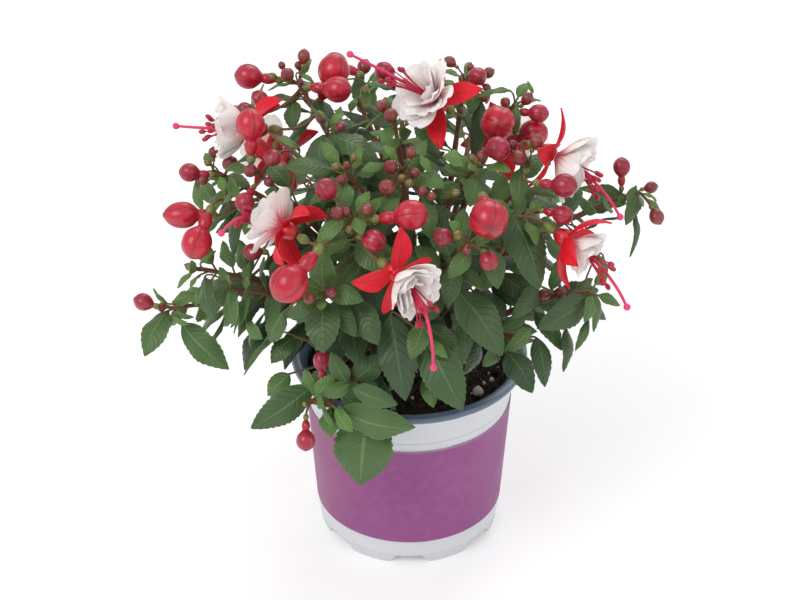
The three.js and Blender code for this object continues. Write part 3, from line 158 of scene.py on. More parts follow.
# Each leafy spray: the limb that bears it and how far along, its tip, its buds, its leaves, and whether it
# is placed from behind.
# A bud: its middle (3), its diameter, the way it points (3) and its kind.
# A leaf: the foot of its blade (3), its tip (3), its width and its turn about its own length.
SPRAY_PARTS = ("limb", "along", "tip", "buds", "leaves", "behind")
SPRAY_ROWS = {
    "top_left": ("back_left", 1, (-55, 117, 30), [
        (-82, 121, 35, 13.5, -10, 1, 2, "long"), (-61, 122, 41, 7.5, 0, 1, 9, "round"),
        (-36, 124, 28, 17, 3, 6, 4, "long"), (-34, 114, 42, 14, 9, -1, 3, "long"),
        (-76, 109, 36, 9, -6, 5, 4, "round"), (-84, 103, 44, 8, -8, 2, 4, "round"),
        (-52, 132, 34, 7, 1, 9, 1, "round"), (-64, 127, 34, 4, -3, 8, 2, "round"),
        (-55, 127, 32, 4.5, -1, 5, 6, "round"), (-54, 118, 36, 4, 1, -2, 9, "round"),
        (-69, 121, 34, 4.5, -8, 3, 2, "green"),
    ], [
        (-62, 115, 38, -63, 99, 48, 10, 0), (-53, 110, 22, -29, 93, 24, 13, 0),
        (-55, 123, 32, -45, 116, 32, 5, 0),
    ]),
    "top_twig": ("top", 0.9, (-23, 108, 20), [
        (-19, 113, 22, 5.5, 3, 9, 0, "green"),
    ], [
        (-24, 109, 22, -27, 102, 28, 5, 0), (-21, 107, 20, -8, 99, 20, 6, 0),
    ]),
    "top_mid_left": ("back_left", 0.7, (-40, 91, 62), [
        (-43, 98, 69, 5, 0, 3, 9, "round"), (-32, 94, 69, 6, 4, 1, 8, "round"),
    ], [
        (-40, 92, 62, -48, 105, 74, 9, 0), (-42, 89, 66, -44, 68, 82, 15, 0),
        (-38, 89, 62, -11, 75, 73, 16, 0),
    ]),
    "top_centre": ("top", 1, (-3, 95, 68), [
        (-5, 100, 76, 7.5, -1, 2, 9, "round"), (-10, 105, 72, 6.5, -5, 4, 5, "round"),
        (-8, 107, 70, 4.5, 0, 7, 4, "green"),
    ], [
        (1, 96, 73, 3, 73, 92, 16, 0), (-1, 88, 66, -9, 76, 69, 7, 0), (-3, 99, 68, -18, 90, 68, 4, 60),
    ]),
    "top": ("back_right", 0.6, (35, 119, 36), [
        (42, 121, 45, 10, 3, -2, 9, "round"), (27, 129, 40, 6, -8, 6, 0, "round"),
        (48, 123, 38, 6, 7, 4, 2, "round"), (38, 126, 39, 4, 2, 8, 2, "round"),
        (47, 115, 44, 4.5, 5, -4, 6, "round"), (46, 110, 40, 6, 2, -5, 7, "round"),
    ], [
        (41, 114, 34, 38, 101, 44, 8, 0), (44, 108, 34, 40, 74, 40, 9, 0),
        (31, 106, 28, 40, 89, 32, 8, 0), (32, 121, 40, 28, 122, 44, 4, 0),
        (36, 121, 43, 36, 115, 48, 6, 0),
    ]),
    "top_right": ("back_right", 1, (62, 106, 50), [
        (53, 96, 68, 18, 0, -1, 9, "long"), (75, 101, 57, 10, 9, -1, 3, "long"),
        (72, 90, 48, 15, 7, 2, 4, "long"), (69, 109, 54, 6.5, 5, 6, 3, "round"),
        (57, 107, 56, 5.5, -3, 3, 8, "round"),
    ], [
        (60, 108, 53, 42, 104, 53, 6, 0), (63, 108, 51, 61, 115, 56, 6, 0),
        (63, 105, 58, 62, 88, 58, 6, 40),
    ]),
    "right_top": ("right", 0.6, (70, 72, 78), [
        (53, 82, 89, 12.5, -3, -1, 9, "long"), (64, 77, 86, 8, -2, 0, 9, "round"),
        (89, 62, 104, 12, 9, -1, 3, "long"), (74, 86, 84, 7, 4, 8, 3, "round"),
        (61, 84, 80, 5, -4, 6, 4, "round"),
    ], [
        (65, 71, 82, 63, 51, 87, 10, 0), (73, 65, 80, 81, 45, 82, 9, 0), (61, 61, 72, 45, 51, 76, 8, 0),
        (69, 63, 72, 67, 51, 81, 7, 0), (72, 71, 82, 80, 67, 89, 6, 0),
    ]),
    "right_inner": ("top", 0.55, (42, 73, 82), [
        (39, 77, 89, 4, -3, 7, 4, "green"), (44, 78, 88, 5, 2, 8, 3, "round"),
    ], [
        (47, 73, 83, 60, 70, 92, 9, 0), (42, 67, 80, 38, 51, 92, 12, 0), (37, 72, 80, 22, 76, 86, 12, 0),
        (37, 71, 86, 44, 63, 86, 4, 0),
    ]),
    "right_arch": ("right", 1, (130, 58, 35), [
        (120, 72, 33, 9.5, 0, 9, 1, "long"), (139, 45, 39, 8, 4, -8, 2, "round"),
        (136, 61, 37, 6.5, 9, 2, 0, "round"),
    ], [
        (124, 57, 30, 97, 63, 26, 9, 60), (130, 62, 35, 125, 41, 44, 11, 0),
        (133, 48, 34, 131, 23, 36, 7, 0), (100, 38, 24, 120, 45, 32, 11, 0),
        (119, 56, 30, 116, 49, 36, 5, 0), (102, 55, 27, 111, 45, 27, 6, 0),
        (109, 37, 28, 113, 29, 35, 6, 0),
    ]),
    "right_bloom": ("right_front", 0.7, (67, 45, 90), [
        (88, 46, 99, 10, 8, -2, 5, "long"),
    ], [
        (61, 45, 93, 76, 6, 101, 21, 0), (68, 49, 86, 83, 48, 95, 10, 0),
        (92, 48, 78, 103, 36, 88, 12, 0),
    ]),
    "right_low": ("right_front", 1, (103, 4, 60), [
        (78, 3, 55, 6.5, -2, -2, 9, "round"), (87, 4, 56, 6, 8, -1, 4, "round"),
    ], [
        (75, 8, 62, 61, -10, 72, 11, 0), (102, 1, 63, 75, -16, 71, 16, 0),
        (104, 2, 64, 100, -12, 72, 8, 0), (107, 6, 59, 108, -17, 61, 8, 0),
        (90, -15, 47, 89, -39, 50, 9, 0), (86, 1, 47, 76, -13, 60, 12, 0),
        (110, 24, 50, 108, 8, 53, 8, 0), (103, -11, 58, 96, -28, 58, 5, 30),
    ]),
    "rim_right": ("right_front", 0.45, (62, -21, 66), [], [
        (58, -28, 68, 72, -50, 76, 15, 0), (74, -16, 69, 60, -29, 74, 9, 0),
        (31, 5, 84, 56, -30, 86, 20, 0), (34, -3, 66, 34, -36, 64, 12, 0),
        (54, -24, 58, 45, -36, 66, 10, 0),
    ]),
    "centre_right": ("front", 0.6, (37, 31, 110), [
        (48, 44, 121, 19.5, 1, -5, 9, "long"), (23, 34, 120, 9.5, -2, -2, 9, "round"),
        (48, 21, 118, 9.5, 3, -6, 7, "round"), (31, 35, 119, 5.5, -4, 0, 8, "green"),
        (36, 27, 120, 5, -1, -5, 8, "round"),
    ], [
        (50, 31, 108, 55, 9, 116, 12, 0), (38, 26, 116, 26, 12, 121, 9, 0),
    ]),
    "front_centre": ("front", 1, (10, -20, 88), [], [
        (14, -22, 87, 34, -60, 90, 21, 0), (-5, -8, 86, 3, -55, 86, 19, 0),
        (14, -42, 74, 18, -58, 80, 9, 0), (13, -13, 94, 6, -32, 102, 11, 0),
    ]),
    "centre_left": ("front_left", 0.45, (-26, 43, 110), [
        (6, 46, 121, 15.5, 9, 1, 3, "long"), (-14, 32, 118, 11.5, 8, -3, 5, "round"),
        (-40, 60, 116, 11, -5, 4, 7, "round"), (-60, 9, 128, 18.5, -6, -7, 2, "long"),
        (-34, 47, 118, 7, -3, -1, 9, "round"), (-27, 38, 118, 4.5, 0, -3, 9, "green"),
        (-18, 49, 118, 6.5, 5, 2, 8, "round"), (-29, 48, 118, 4.5, -1, 4, 8, "round"),
    ], [
        (-30, 43, 114, -45, 28, 118, 9, 0), (-23, 40, 111, -19, 31, 119, 7, 0),
        (-23, 31, 102, -8, 15, 110, 14, 0),
    ]),
    "centre_top": ("top", 0.75, (1, 71, 92), [
        (-7, 61, 101, 8.5, -1, -2, 9, "round"), (-5, 72, 98, 7.5, -4, 2, 8, "round"),
        (8, 69, 100, 5.5, 3, 0, 9, "round"), (6, 80, 97, 5.5, 2, 8, 3, "round"),
        (1, 66, 100, 4.5, 1, -1, 9, "green"), (5, 63, 101, 5, 0, -3, 9, "green"),
        (12, 59, 100, 5.5, 2, -3, 8, "round"), (17, 56, 100, 5, 4, -3, 8, "round"),
        (30, 58, 97, 4.5, 6, 0, 6, "green"),
    ], [
        (-4, 59, 93, -6, 45, 105, 9, 0), (-8, 73, 90, -21, 70, 96, 7, 0), (13, 54, 90, 16, 34, 98, 11, 0),
        (8, 68, 86, 24, 62, 96, 13, 0), (-8, 73, 93, -21, 71, 93, 6, 0), (10, 77, 93, 16, 67, 93, 5, 0),
    ]),
    "centre_top_left": ("top", 0.6, (-30, 70, 90), [
        (-32, 65, 97, 5.5, -1, -2, 9, "round"), (-25, 77, 95, 4, 2, 6, 5, "green"),
        (-35, 72, 96, 4.5, -6, 2, 6, "green"), (-29, 73, 97, 4, 0, 2, 9, "round"),
    ], [
        (-29, 63, 93, -31, 47, 104, 10, 0), (-25, 72, 86, -8, 78, 88, 9, 0),
        (-37, 68, 85, -63, 71, 90, 13, 0),
    ]),
    "left_inner": ("left", 0.75, (-75, 67, 70), [
        (-69, 77, 82, 9, 0, -5, 8, "round"), (-84, 53, 84, 10, -3, -6, 6, "long"),
        (-81, 95, 84, 15, 0, 9, 3, "long"), (-81, 70, 79, 7, -5, -1, 7, "round"),
        (-71, 64, 81, 5.5, 1, -3, 9, "round"), (-68, 83, 72, 4.5, 2, 8, 2, "green"),
    ], [
        (-58, 77, 68, -70, 84, 76, 10, 0), (-77, 69, 66, -95, 72, 74, 11, 0),
    ]),
    "left_high": ("left", 1, (-101, 70, 42), [
        (-114, 69, 50, 10, -9, 1, 1, "long"), (-92, 74, 52, 8.5, 2, 3, 8, "round"),
        (-107, 65, 49, 6, -5, -4, 5, "round"), (-101, 80, 46, 5.5, 0, 8, 3, "round"),
        (-104, 74, 47, 3.5, -7, 3, 2, "green"),
    ], [
        (-93, 62, 42, -101, 48, 52, 9, 0), (-106, 64, 42, -103, 48, 44, 7, 0),
        (-97, 66, 36, -81, 62, 46, 10, 0), (-106, 64, 46, -103, 51, 46, 6, 0),
    ]),
    "left_mid": ("left", 0.5, (-94, 54, 62), [
        (-117, 46, 67, 14, -10, 0, 1, "opening"), (-110, 31, 80, 16, -3, -8, 3, "long"),
    ], [
        (-88, 56, 52, -96, 24, 56, 10, 0),
    ]),
    "left_thin": ("left_low", 0.8, (-109, 17, 48), [
        (-80, 26, 56, 9, -9, 0, 3, "round"), (-114, 18, 51, 4.5, -8, 4, 2, "green"),
    ], [
        (-71, 24, 44, -77, 1, 46, 8, 0), (-81, 21, 40, -83, 2, 44, 7, 0),
        (-110, 16, 50, -116, 9, 55, 5, 0), (-108, 20, 48, -100, 27, 48, 5, 0),
    ]),
    "left_leafy": ("left_low", 0.5, (-91, 6, 58), [], [
        (-92, 5, 60, -90, -14, 70, 12, 0), (-101, 12, 56, -96, -12, 62, 12, 0),
        (-83, 3, 56, -87, -13, 64, 10, 0), (-67, 19, 48, -75, -22, 52, 13, 0),
        (-88, 28, 50, -96, 17, 60, 10, 0), (-90, -12, 64, -82, -21, 72, 8, 0),
    ]),
    "left_low": ("left_low", 1, (-123, -4, 28), [
        (-139, -1, 34, 9.5, -9, 3, 0, "round"), (-129, -4, 31, 5, -2, -3, 8, "round"),
    ], [
        (-118, -13, 24, -93, -38, 28, 16, -45), (-126, -6, 28, -139, -30, 36, 16, -40),
        (-123, -1, 26, -108, 3, 36, 8, 0), (-126, -2, 28, -134, 6, 28, 4, 0),
        (-120, -2, 29, -110, -5, 29, 5, 30), (-121, -6, 29, -112, -10, 29, 4, 0),
    ]),
    "low_left": ("front_left", 0.8, (-45, -52, 58), [
        (-42, -33, 62, 10, 0, 9, 2, "long"), (-51, -76, 64, 10, 0, -9, 2, "long"),
    ], [
        (-48, -47, 54, -81, -70, 52, 17, 0), (-45, -55, 56, -61, -60, 58, 8, 0),
        (-37, -58, 54, -38, -74, 58, 13, 0), (-18, -62, 58, -22, -101, 42, 31, 0),
        (-32, -56, 62, 9, -67, 62, 20, 0), (-33, -58, 66, -24, -71, 70, 9, 0),
        (-44, -50, 54, -34, -38, 58, 9, 0), (-45, -50, 52, -50, -36, 56, 9, 0),
        (-60, -20, 52, -82, -43, 52, 5, 30),
    ]),
    "low_front": ("front_left", 0.65, (-27, -43, 72), [], [
        (-25, -43, 72, -8, -30, 82, 13, 0), (-28, -43, 72, -37, -27, 78, 10, 0),
        (-24, -45, 73, 0, -55, 76, 12, 0), (-30, -45, 73, -43, -52, 78, 8, 0),
        (-58, -20, 52, -70, -34, 56, 11, 0),
    ]),
    "front_left": ("front_left", 1, (-41, 4, 106), [
        (-49, 1, 114, 6, -5, -3, 7, "round"), (-37, 4, 114, 6, 3, 0, 9, "round"),
    ], [
        (-41, -1, 106, -42, -28, 118, 18, 0), (-41, 6, 104, -42, 27, 114, 14, 0),
        (-38, 4, 106, -20, 0, 114, 10, 0), (-25, 0, 96, -12, -24, 106, 15, 0),
        (-42, 0, 112, -43, -5, 116, 5, 0),
    ]),
    "back_top": ("top", 0.85, (11, 52, 102), [
        (20, 60, 110, 11, 5, 5, 5, "long"),
    ], [], True),
    "back_left_side": ("back_left", 0.8, (98, 24, 98), [
        (110, 26, 100, 12, 9, 0, 2, "long"),
    ], [], True),
    "back_middle": ("back", 1, (39, 12, 133), [
        (52, 16, 138, 13, 8, 0, 4, "long"), (34, 12, 138, 8, -3, 4, 8, "round"),
    ], [], True),
    "back_right_side": ("back_right", 0.8, (-39, 6, 123), [
        (-30, 10, 130, 8, 4, 2, 8, "round"),
    ], [], True),
    "back_left_low": ("back", 0.7, (70, -56, 92), [
        (80, -60, 98, 10, 7, -6, 2, "long"),
    ], [], True),
    "back_right_low": ("back", 0.5, (-75, -47, 79), [], [], True),
}
SPRAYS = {name: dict(zip(SPRAY_PARTS, row)) for name, row in SPRAY_ROWS.items()}

# Each bloom: the spray that bears it, the mouth of its tube, the way it opens, its turn about that way, how
# its sepals bend back from first to last, how long they and its petals are, how its petals flare, the end of
# its style, and whether it is placed from behind.
BLOOM_PARTS = ("spray", "mouth", "opens", "turn", "bend", "sepal", "petal", "flare", "style_end", "behind")
BLOOM_ROWS = {
    "upper_left": ("top_left", (-81, 92.5, 62), (-10, 0, 1), 45, (108, 168), 24, 21, (52, 8), (-119, 94, 62)),
    "top": ("top", (19, 108, 72), (-6, 3, 7), 15, (95, 100), 24, 20, (62, 40), (-25, 132, 102)),
    "right_top": ("right_top", (84, 78, 80), (9, -4.5, 1), 5, (95, 125), 22, 22, (58, 24), (118, 47, 84)),
    "left": (
        "centre_left", (-63.7, 39.4, 104), (-8, 4.5, -2.5), -45, (108, 160), 23, 18, (74, 46),
        (-96, 37, 134),
    ),
    "front": ("centre_left", (-1, 13, 128), (6, -5, 6), 15, (92, 105), 23, 20, (46, 8), (18, -34, 145)),
    "right": ("right_bloom", (92, 31.5, 98), (7, -5, 1.5), 18, (80, -8), 24, 16, (48, 0), (122, -2, 116)),
    "back_left": (
        "back_left_side", (84, -4, 90), (7, -3, 6), 45, (92, 115), 24, 21, (54, 16),
        (114, -38, 116), True,
    ),
    "back_right": (
        "back_right_side", (-53, -17, 105), (-5, -6, 6), 0, (92, 120), 23, 20, (54, 14),
        (-70, -62, 129), True,
    ),
}
BLOOMS = {name: dict(zip(BLOOM_PARTS, row)) for name, row in BLOOM_ROWS.items()}


# Stems and stalks
STEM_RADII = (1.8, 1.4)
STEM_LIFT = 9
STEM_CLEAR = 4
STEM_POINTS = 24
STALK_RADIUS = 0.65
FINE_STALK_RADIUS = 0.4
STALK_ROOM = 1.2
SMALL_BUD = 7.4
SMALL_LEAF = 7

# Leaves
LEAF_ARCH = 0.1
LEAF_FOLD = 0.2
LEAF_RIPPLE = 0.13
LEAF_SWELL = 0.7
LEAF_TAPER = 0.95
LEAF_LIGHT = 0.55
LEAF_SHAPE = 0.47
LEAF_LENGTHS = (37, 24)
LEAF_SPACING = 60
BACK_LEAF_SPACING = 16
FIRST_LEAF = 0.36
PETIOLE = 5
PETIOLE_RADIUS = 0.6
SAMPLE_STEP = 4
SAMPLE_RADIUS = 1.75
PETIOLE_ROOM = 0.9
STEM_ROOM = 0.5
MOVES = (0, 3, -3, 6, -6, 9, -9, 12, -12)
TRIES = 10
ROOT_SLACK = 1.4
LEAF_RISE = 0.35
LEAF_RISE_MOST = 0.75
LEAF_SWING = 1.2
LEAF_DROOP = 0.4
LEAF_ROLL = 50
BENT_BELOW = 0.25
BEND_BACK = 0.3
BEND_UNDER = 0.2
BENT_SAMPLES = 12
# Heights over which the leaves' tone goes from dark to light: the lower leaves get a painted shade
SHADED_LEAF_HEIGHT = 115
LIT_LEAF_HEIGHT = 235
LIGHT_SPRAYS = {"low_left": 0.3, "left_low": 0.3, "left_thin": 0.2}

# Filling leaves: how close their pairs stand, how often each is tried, how far they stay from the bush's
# outline, its box, what stands in it and the pot's front, and where their draws start. The soil that shows is
# a window in the view, from left to right and from bottom to top.
FILL_SPACING = 8.5
FILL_TRIES = 20
OUTLINE_ROOM = 6
EDGE_ROOM = 7
SOIL_WINDOW = (5, 60, -60, -43)
FRONT_ROOM = 90
FILL_ROOM = 1.1
FILL_SEED = 77

# Leaves of the farther side that close what would be seen through, as rows of spray and leaf, and how far
# each may move along its face to be clear
CLOSING_LEAVES = [
    ("left_mid", (-84, -10, 30, -96, -36, 26, 14, -20)),
    ("left_mid", (-96, -12, 20, -102, -30, 16, 11, 10)),
    ("rim_right", (70, -20, 40, 75, -47, 38, 11, 20)),
    ("top_right", (20, 78, 40, 8, 96, 34, 12, 0)),
    ("centre_top_left", (-56, 84, 20, -42, 99, 12, 11, 0)),
    ("left_high", (-60, 62, 10, -72, 74, 4, 12, 0)),
    ("left_high", (-100, 52, 14, -108, 66, 8, 9, 0)),
    ("right_bloom", (76, 30, 60, 88, 20, 50, 11, 0)),
    ("right_top", (66, 66, 30, 78, 80, 24, 11, 0)),
    ("centre_left", (-56, -6, 60, -64, -22, 54, 12, 0)),
    ("low_left", (-60, -40, 30, -72, -52, 24, 11, 0)),
    ("left_thin", (-82, 26, 40, -84, 42, 30, 11, 0)),
]
CLOSING_MOVES = (0, -4, 4, -8, 8, -12, 12, -18, 18, -24, 24, -32, -40)

# A twig that was cut back: its line, and that of its side end
CUT_TWIG = [(-34, -57.5, 56), (-42, -56, 59), (-49, -54.5, 60)]
CUT_SIDE = [(-47, -55, 60), (-50, -56, 62.5), (-51.6, -56.4, 64)]

# Light
WORLD_LIGHT = 0.66
KEY_POWER = 13
FILL_POWER = 3.4
BACK_POWER = 8
FLOOR_GLOW = 0.15
SEED = 5

# Blooms
TUBE_LENGTH = 9
TUBE_RADIUS = 4.2
MOUTH_RADIUS = 3.6
OVARY_LENGTH = 7
OVARY = [(0.7, -OVARY_LENGTH, 0), (1.5, -6, 0.2), (2.5, -3.8, 0.5), (2.3, -2, 0.7), (1.5, 0, 1)]
SEPAL_WIDTH = 12.8
PETAL_WIDTH = 13
PETAL_TWIST = math.radians(24)
PETAL_GLOW = 0.002

RIGHT = np.array((1.0, 0.0, 0.0))
UP = np.array((0.0, 0.0, 1.0))
VIEW_UP = np.array((0.0, math.sin(VIEW_TILT), math.cos(VIEW_TILT)))
VIEW_BACK = np.array((0.0, -math.cos(VIEW_TILT), math.sin(VIEW_TILT)))

pot_low, pot_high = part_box("pot")
POT_AXIS = np.array(((pot_low[0] + pot_high[0]) / 2, (pot_low[1] + pot_high[1]) / 2, 0.0)) / MM
START_LOW, START_HIGH = np.array([tuple(corner) for corner in START_BOX]) / MM - POT_AXIS


def unit(v):
    return v / np.linalg.norm(v)


def turned(v, behind):
    return v * (-1, -1, 1) if behind else v


def way(direction, behind=False):
    """A way in the view, as a unit vector about the pot's axis."""
    across, up, towards = direction
    return turned(unit(RIGHT * across + VIEW_UP * up + VIEW_BACK * towards), behind)


def seen(place, behind=False):
    """A place in the view. Nearer things look larger, so the two offsets shrink with nearness."""
    across, up, towards = place
    near = 1 - towards / VIEW_DISTANCE
    return turned(VIEW_POINT + (RIGHT * across + VIEW_UP * up) * near + VIEW_BACK * towards, behind)


def in_view(points):
    """How far places are across, up and towards the viewer."""
    from_point = np.atleast_2d(points) - VIEW_POINT
    towards = from_point @ VIEW_BACK
    near = 1 - towards / VIEW_DISTANCE
    return np.stack((from_point @ RIGHT / near, from_point @ VIEW_UP / near, towards), -1)


def rotated(v, axis, angle):
    turn = np.cross(axis, v) * math.sin(angle)
    return v * math.cos(angle) + turn + axis * (axis @ v) * (1 - math.cos(angle))


def square_to(direction):
    """Two unit vectors square to a direction and to each other."""
    helper = UP if abs(direction[2]) < 0.9 else RIGHT
    side = unit(np.cross(helper, direction))
    return side, np.cross(direction, side)


def bezier(start, bend, end, steps):
    t = np.linspace(0, 1, steps + 1)[:, None]
    return (1 - t) ** 2 * start + 2 * t * (1 - t) * bend + t**2 * end


def spline(rows, steps):
    """A smooth line through rows of numbers, in this many steps from each row to the next."""
    rows = np.asarray(rows, float)
    ends = (2 * rows[:1] - rows[1:2], rows, 2 * rows[-1:] - rows[-2:-1])
    rows = np.concatenate(ends)
    t = np.linspace(0, 1, steps, endpoint=False)[:, None]
    line = []
    for a, b, c, d in zip(rows, rows[1:], rows[2:], rows[3:]):
        cubic = (3 * b - a - 3 * c + d) * t**3
        line.append((2 * b + (c - a) * t + (2 * a - 5 * b + 4 * c - d) * t**2 + cubic) / 2)
    return np.concatenate(line + [rows[-2:-1]])


def ratio(a, b, t):
    return a + (b - a) * t


def round_angles(sides):
    return 2 * math.pi * np.arange(sides) / sides


def spun(angles, side, normal):
    """Unit vectors at angles about an axis, from one way square to it towards another."""
    return np.cos(angles)[:, None] * side + np.sin(angles)[:, None] * normal


def level_ring(circle, radius, z):
    """A ring about the pot's axis, at one height or at one for each of its corners."""
    return np.column_stack((circle * radius, np.broadcast_to(z, len(circle))))


def rings(points, radii, sides):
    """Round rings along a line of points, each turned as little as can be from the one before."""
    points = np.asarray(points, float)
    radii = np.broadcast_to(radii, len(points))
    side = square_to(unit(points[1] - points[0]))[0]
    grid = []
    for i, p in enumerate(points):
        along = unit(points[min(i + 1, len(points) - 1)] - points[max(i - 1, 0)])
        side = unit(side - along * (side @ along))
        grid.append(p + radii[i] * spun(round_angles(sides), side, np.cross(along, side)))
    return np.array(grid)


class Body:
    """The points and faces of a piece, with what its finishes read: for each corner of a face its place on
    the part, across and along, and its tone and youth."""

    def __init__(self):
        self.points, self.faces, self.places, self.ages, self.finishes = [], [], [], [], []
        self.count = 0

    def take(self, flat, faces, places, age, finishes):
        """Keeps a closed skin, its faces turned to look out."""
        corners = flat[faces] - flat.mean(0)
        outwards = np.cross(corners[:, 1] - corners[:, 0], corners[:, 3] - corners[:, 0])
        if (corners.mean(1) * outwards).sum() < 0:
            faces, places = faces[:, ::-1], places[:, ::-1]
        self.points.append(flat)
        self.faces.append(faces + self.count)
        self.places.append(places)
        self.ages.append(np.broadcast_to(age, (len(faces), 4, 2)))
        self.finishes.append(finishes)
        self.count += len(flat)

    def loft(self, grid, across, along, age=(0.5, 0.5), finish=0):
        """A closed skin through rings of an even count of points, its ends closed by strips."""
        grid = np.asarray(grid, float)
        count, sides = grid.shape[:2]
        across, along = np.asarray(across, float), np.asarray(along, float)
        ids = np.arange(count * sides).reshape(count, sides)
        after = np.roll(ids, -1, 1)
        walls = np.stack((ids[:-1], after[:-1], after[1:], ids[1:]), -1).reshape(-1, 4)
        j = np.arange(sides // 2 - 1)
        strip = np.stack((j, j + 1, sides - 2 - j, sides - 1 - j), -1)
        faces = np.concatenate((walls, strip[:, ::-1], strip + (count - 1) * sides))
        places = np.empty((len(faces), 4, 2))
        wall = places[: len(walls)].reshape(count - 1, sides, 4, 2)
        wall[..., 0] = np.stack((across[:-1], across[1:], across[1:], across[:-1]), -1)
        wall[..., 1] = np.stack((along[:-1], along[:-1], along[1:], along[1:]), -1)[:, None]
        caps = places[len(walls) :]
        caps[..., 0] = across[faces[len(walls) :] % sides]
        caps[..., 1] = along[faces[len(walls) :] // sides]
        kinds = np.broadcast_to(finish, (count - 1, sides))
        finishes = np.concatenate((kinds.ravel(), kinds[0][j], kinds[-1][j]))
        self.take(grid.reshape(-1, 3), faces, places, age, finishes)

    def ring(self, grid, across, along):
        """A closed skin that comes back round both ways. It has one more place across than rings."""
        count, sides = grid.shape[:2]
        ids = np.arange(count * sides).reshape(count, sides)
        beside, after = np.roll(ids, -1, 0), np.roll(ids, -1, 1)
        faces = np.stack((ids, beside, np.roll(beside, -1, 1), after), -1).reshape(-1, 4)
        places = np.empty((count, sides, 4, 2))
        places[..., 0] = np.stack((across[:-1], across[1:], across[1:], across[:-1]), -1)[:, None]
        further = np.roll(along, -1)
        places[..., 1] = np.stack((along, along, further, further), -1)
        self.take(grid.reshape(-1, 3), faces, places.reshape(-1, 4, 2), (0.5, 0.5), np.zeros(len(faces), int))

    def tube(self, points, radii, sides, age=(0.5, 0.5), finish=0):
        grid = rings(points, radii, sides)
        self.loft(grid, np.linspace(0, 1, sides + 1), np.linspace(0, 1, len(grid)), age, finish)

    def turned(self, profile, sides, place, direction, age=(0.5, 0.5), finish=0):
        """A turned body: rows of radius, height and place along it, on a direction."""
        circle = spun(round_angles(sides), *square_to(direction))
        grid = place + circle * profile[:, 0, None, None] + direction * profile[:, 1, None, None]
        self.loft(grid, np.linspace(0, 1, sides + 1), profile[:, 2], age, finish)


def placed(name, data):
    """A new object of the scene, with its mesh, lamp or camera."""
    made = bpy.data.objects.new(name, data)
    bpy.context.scene.collection.objects.link(made)
    return made


def mesh_of(name, body):
    mesh = bpy.data.meshes.new(name)
    points = (np.concatenate(body.points) + POT_AXIS) * MM
    mesh.from_pydata(points.tolist(), [], np.concatenate(body.faces).tolist())
    return mesh


def piece(name, body, finishes, node, crease=52):
    """One piece of the object from its body, standing for a part of the frame."""
    mesh = mesh_of(name, body)
    for layer_name, corners in (("place", body.places), ("age", body.ages)):
        layer = mesh.uv_layers.new(name=layer_name)
        layer.data.foreach_set("uv", np.concatenate(corners).astype(np.float32).ravel())
    for finish in finishes:
        mesh.materials.append(finish)
    mesh.polygons.foreach_set("material_index", np.concatenate(body.finishes).astype(np.int32))
    mesh.polygons.foreach_set("use_smooth", np.ones(len(mesh.polygons), bool))
    mesh.set_sharp_from_angle(angle=math.radians(crease))
    mesh.update()
    made = placed(name, mesh)
    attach(made, "root")
    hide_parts(node)
    return made


class Room:
    """What is already in the bush, as balls, so that each new leaf is placed clear of it."""

    WIDEST = 24

    def __init__(self):
        self.rows = np.empty((120000, 6))
        self.count = 0
        self.owners = {}

    def take(self, points, radius, owner, kind):
        points = np.atleast_2d(points)
        end = self.count + len(points)
        self.rows[self.count : end, :3] = points
        self.rows[self.count : end, 3] = radius
        self.rows[self.count : end, 4] = self.owners.setdefault(owner, len(self.owners))
        self.rows[self.count : end, 5] = kind == "stalk"
        self.count = end

    def clear(self, points, radius, owner, own_radius):
        """Clear of everything, the stalks of its own spray left out unless own_radius gives them a size."""
        rows = self.rows[: self.count]
        low, high = points.min(0) - self.WIDEST, points.max(0) + self.WIDEST
        rows = rows[np.all((rows[:, :3] > low) & (rows[:, :3] < high), 1)]
        own = (rows[:, 4] == self.owners.get(owner)) & (rows[:, 5] == 1)
        reach = np.where(own, own_radius, rows[:, 3] + radius)
        gaps = np.linalg.norm(points[:, None] - rows[None, :, :3], axis=2)
        return not (gaps < reach).any()


def nearest(points, p):
    return points[np.argmin(np.linalg.norm(points - p, axis=1))]


# Limbs and stems
def limb_curve(name, steps):
    foot, end = np.array(LIMB_FOOT, float), np.array(LIMBS[name], float)
    spread = np.array((end[0] * LIMB_SPREAD, end[1] * LIMB_SPREAD, LIMB_LIFT))
    return bezier(foot, ratio(foot, end, LIMB_BEND) + spread, end, steps)


def stem_curve(spray):
    """Where a spray leaves its limb, and the line of its stem."""
    fine = 200
    at = limb_curve(spray["limb"], fine)[round(spray["along"] * fine)]
    tip = seen(spray["tip"], spray.get("behind"))
    bend = (at + tip) / 2 + (0, 0, STEM_LIFT)
    return at, bezier(at + unit(bend - at) * STEM_CLEAR, bend, tip, STEM_POINTS)


# Leaves
def leaf_frame(leaf):
    """A leaf's length, and its frame: along it, across it, and out of its upper face."""
    along = leaf["tip"] - leaf["base"]
    length = np.linalg.norm(along)
    along = along / length
    facing = unit(((leaf["base"] + leaf["tip"]) / 2 - BUSH_CENTRE) / BUSH_AXES**2) + UP * LEAF_LIGHT
    facing = unit(facing - along * (facing @ along))
    facing = rotated(facing, along, math.radians(leaf["roll"]))
    return length, along, np.cross(facing, along), facing


def leaf_outline(share):
    """Half the blade's width at a share of its length: full below the middle, drawn out to a point."""
    widest = LEAF_SWELL / (LEAF_SWELL + LEAF_TAPER)
    peak = widest**LEAF_SWELL * (1 - widest) ** LEAF_TAPER
    return share**LEAF_SWELL * (1 - share) ** LEAF_TAPER / peak


def leaf_rise(length, half, share, across):
    """How far the blade stands out of its own plane: arched along it, folded and rippled across it."""
    wave = LEAF_RIPPLE * np.sin(3 * math.pi * share + across)
    return LEAF_ARCH * length * np.sin(math.pi * share) - half * np.abs(across) * (LEAF_FOLD + wave)


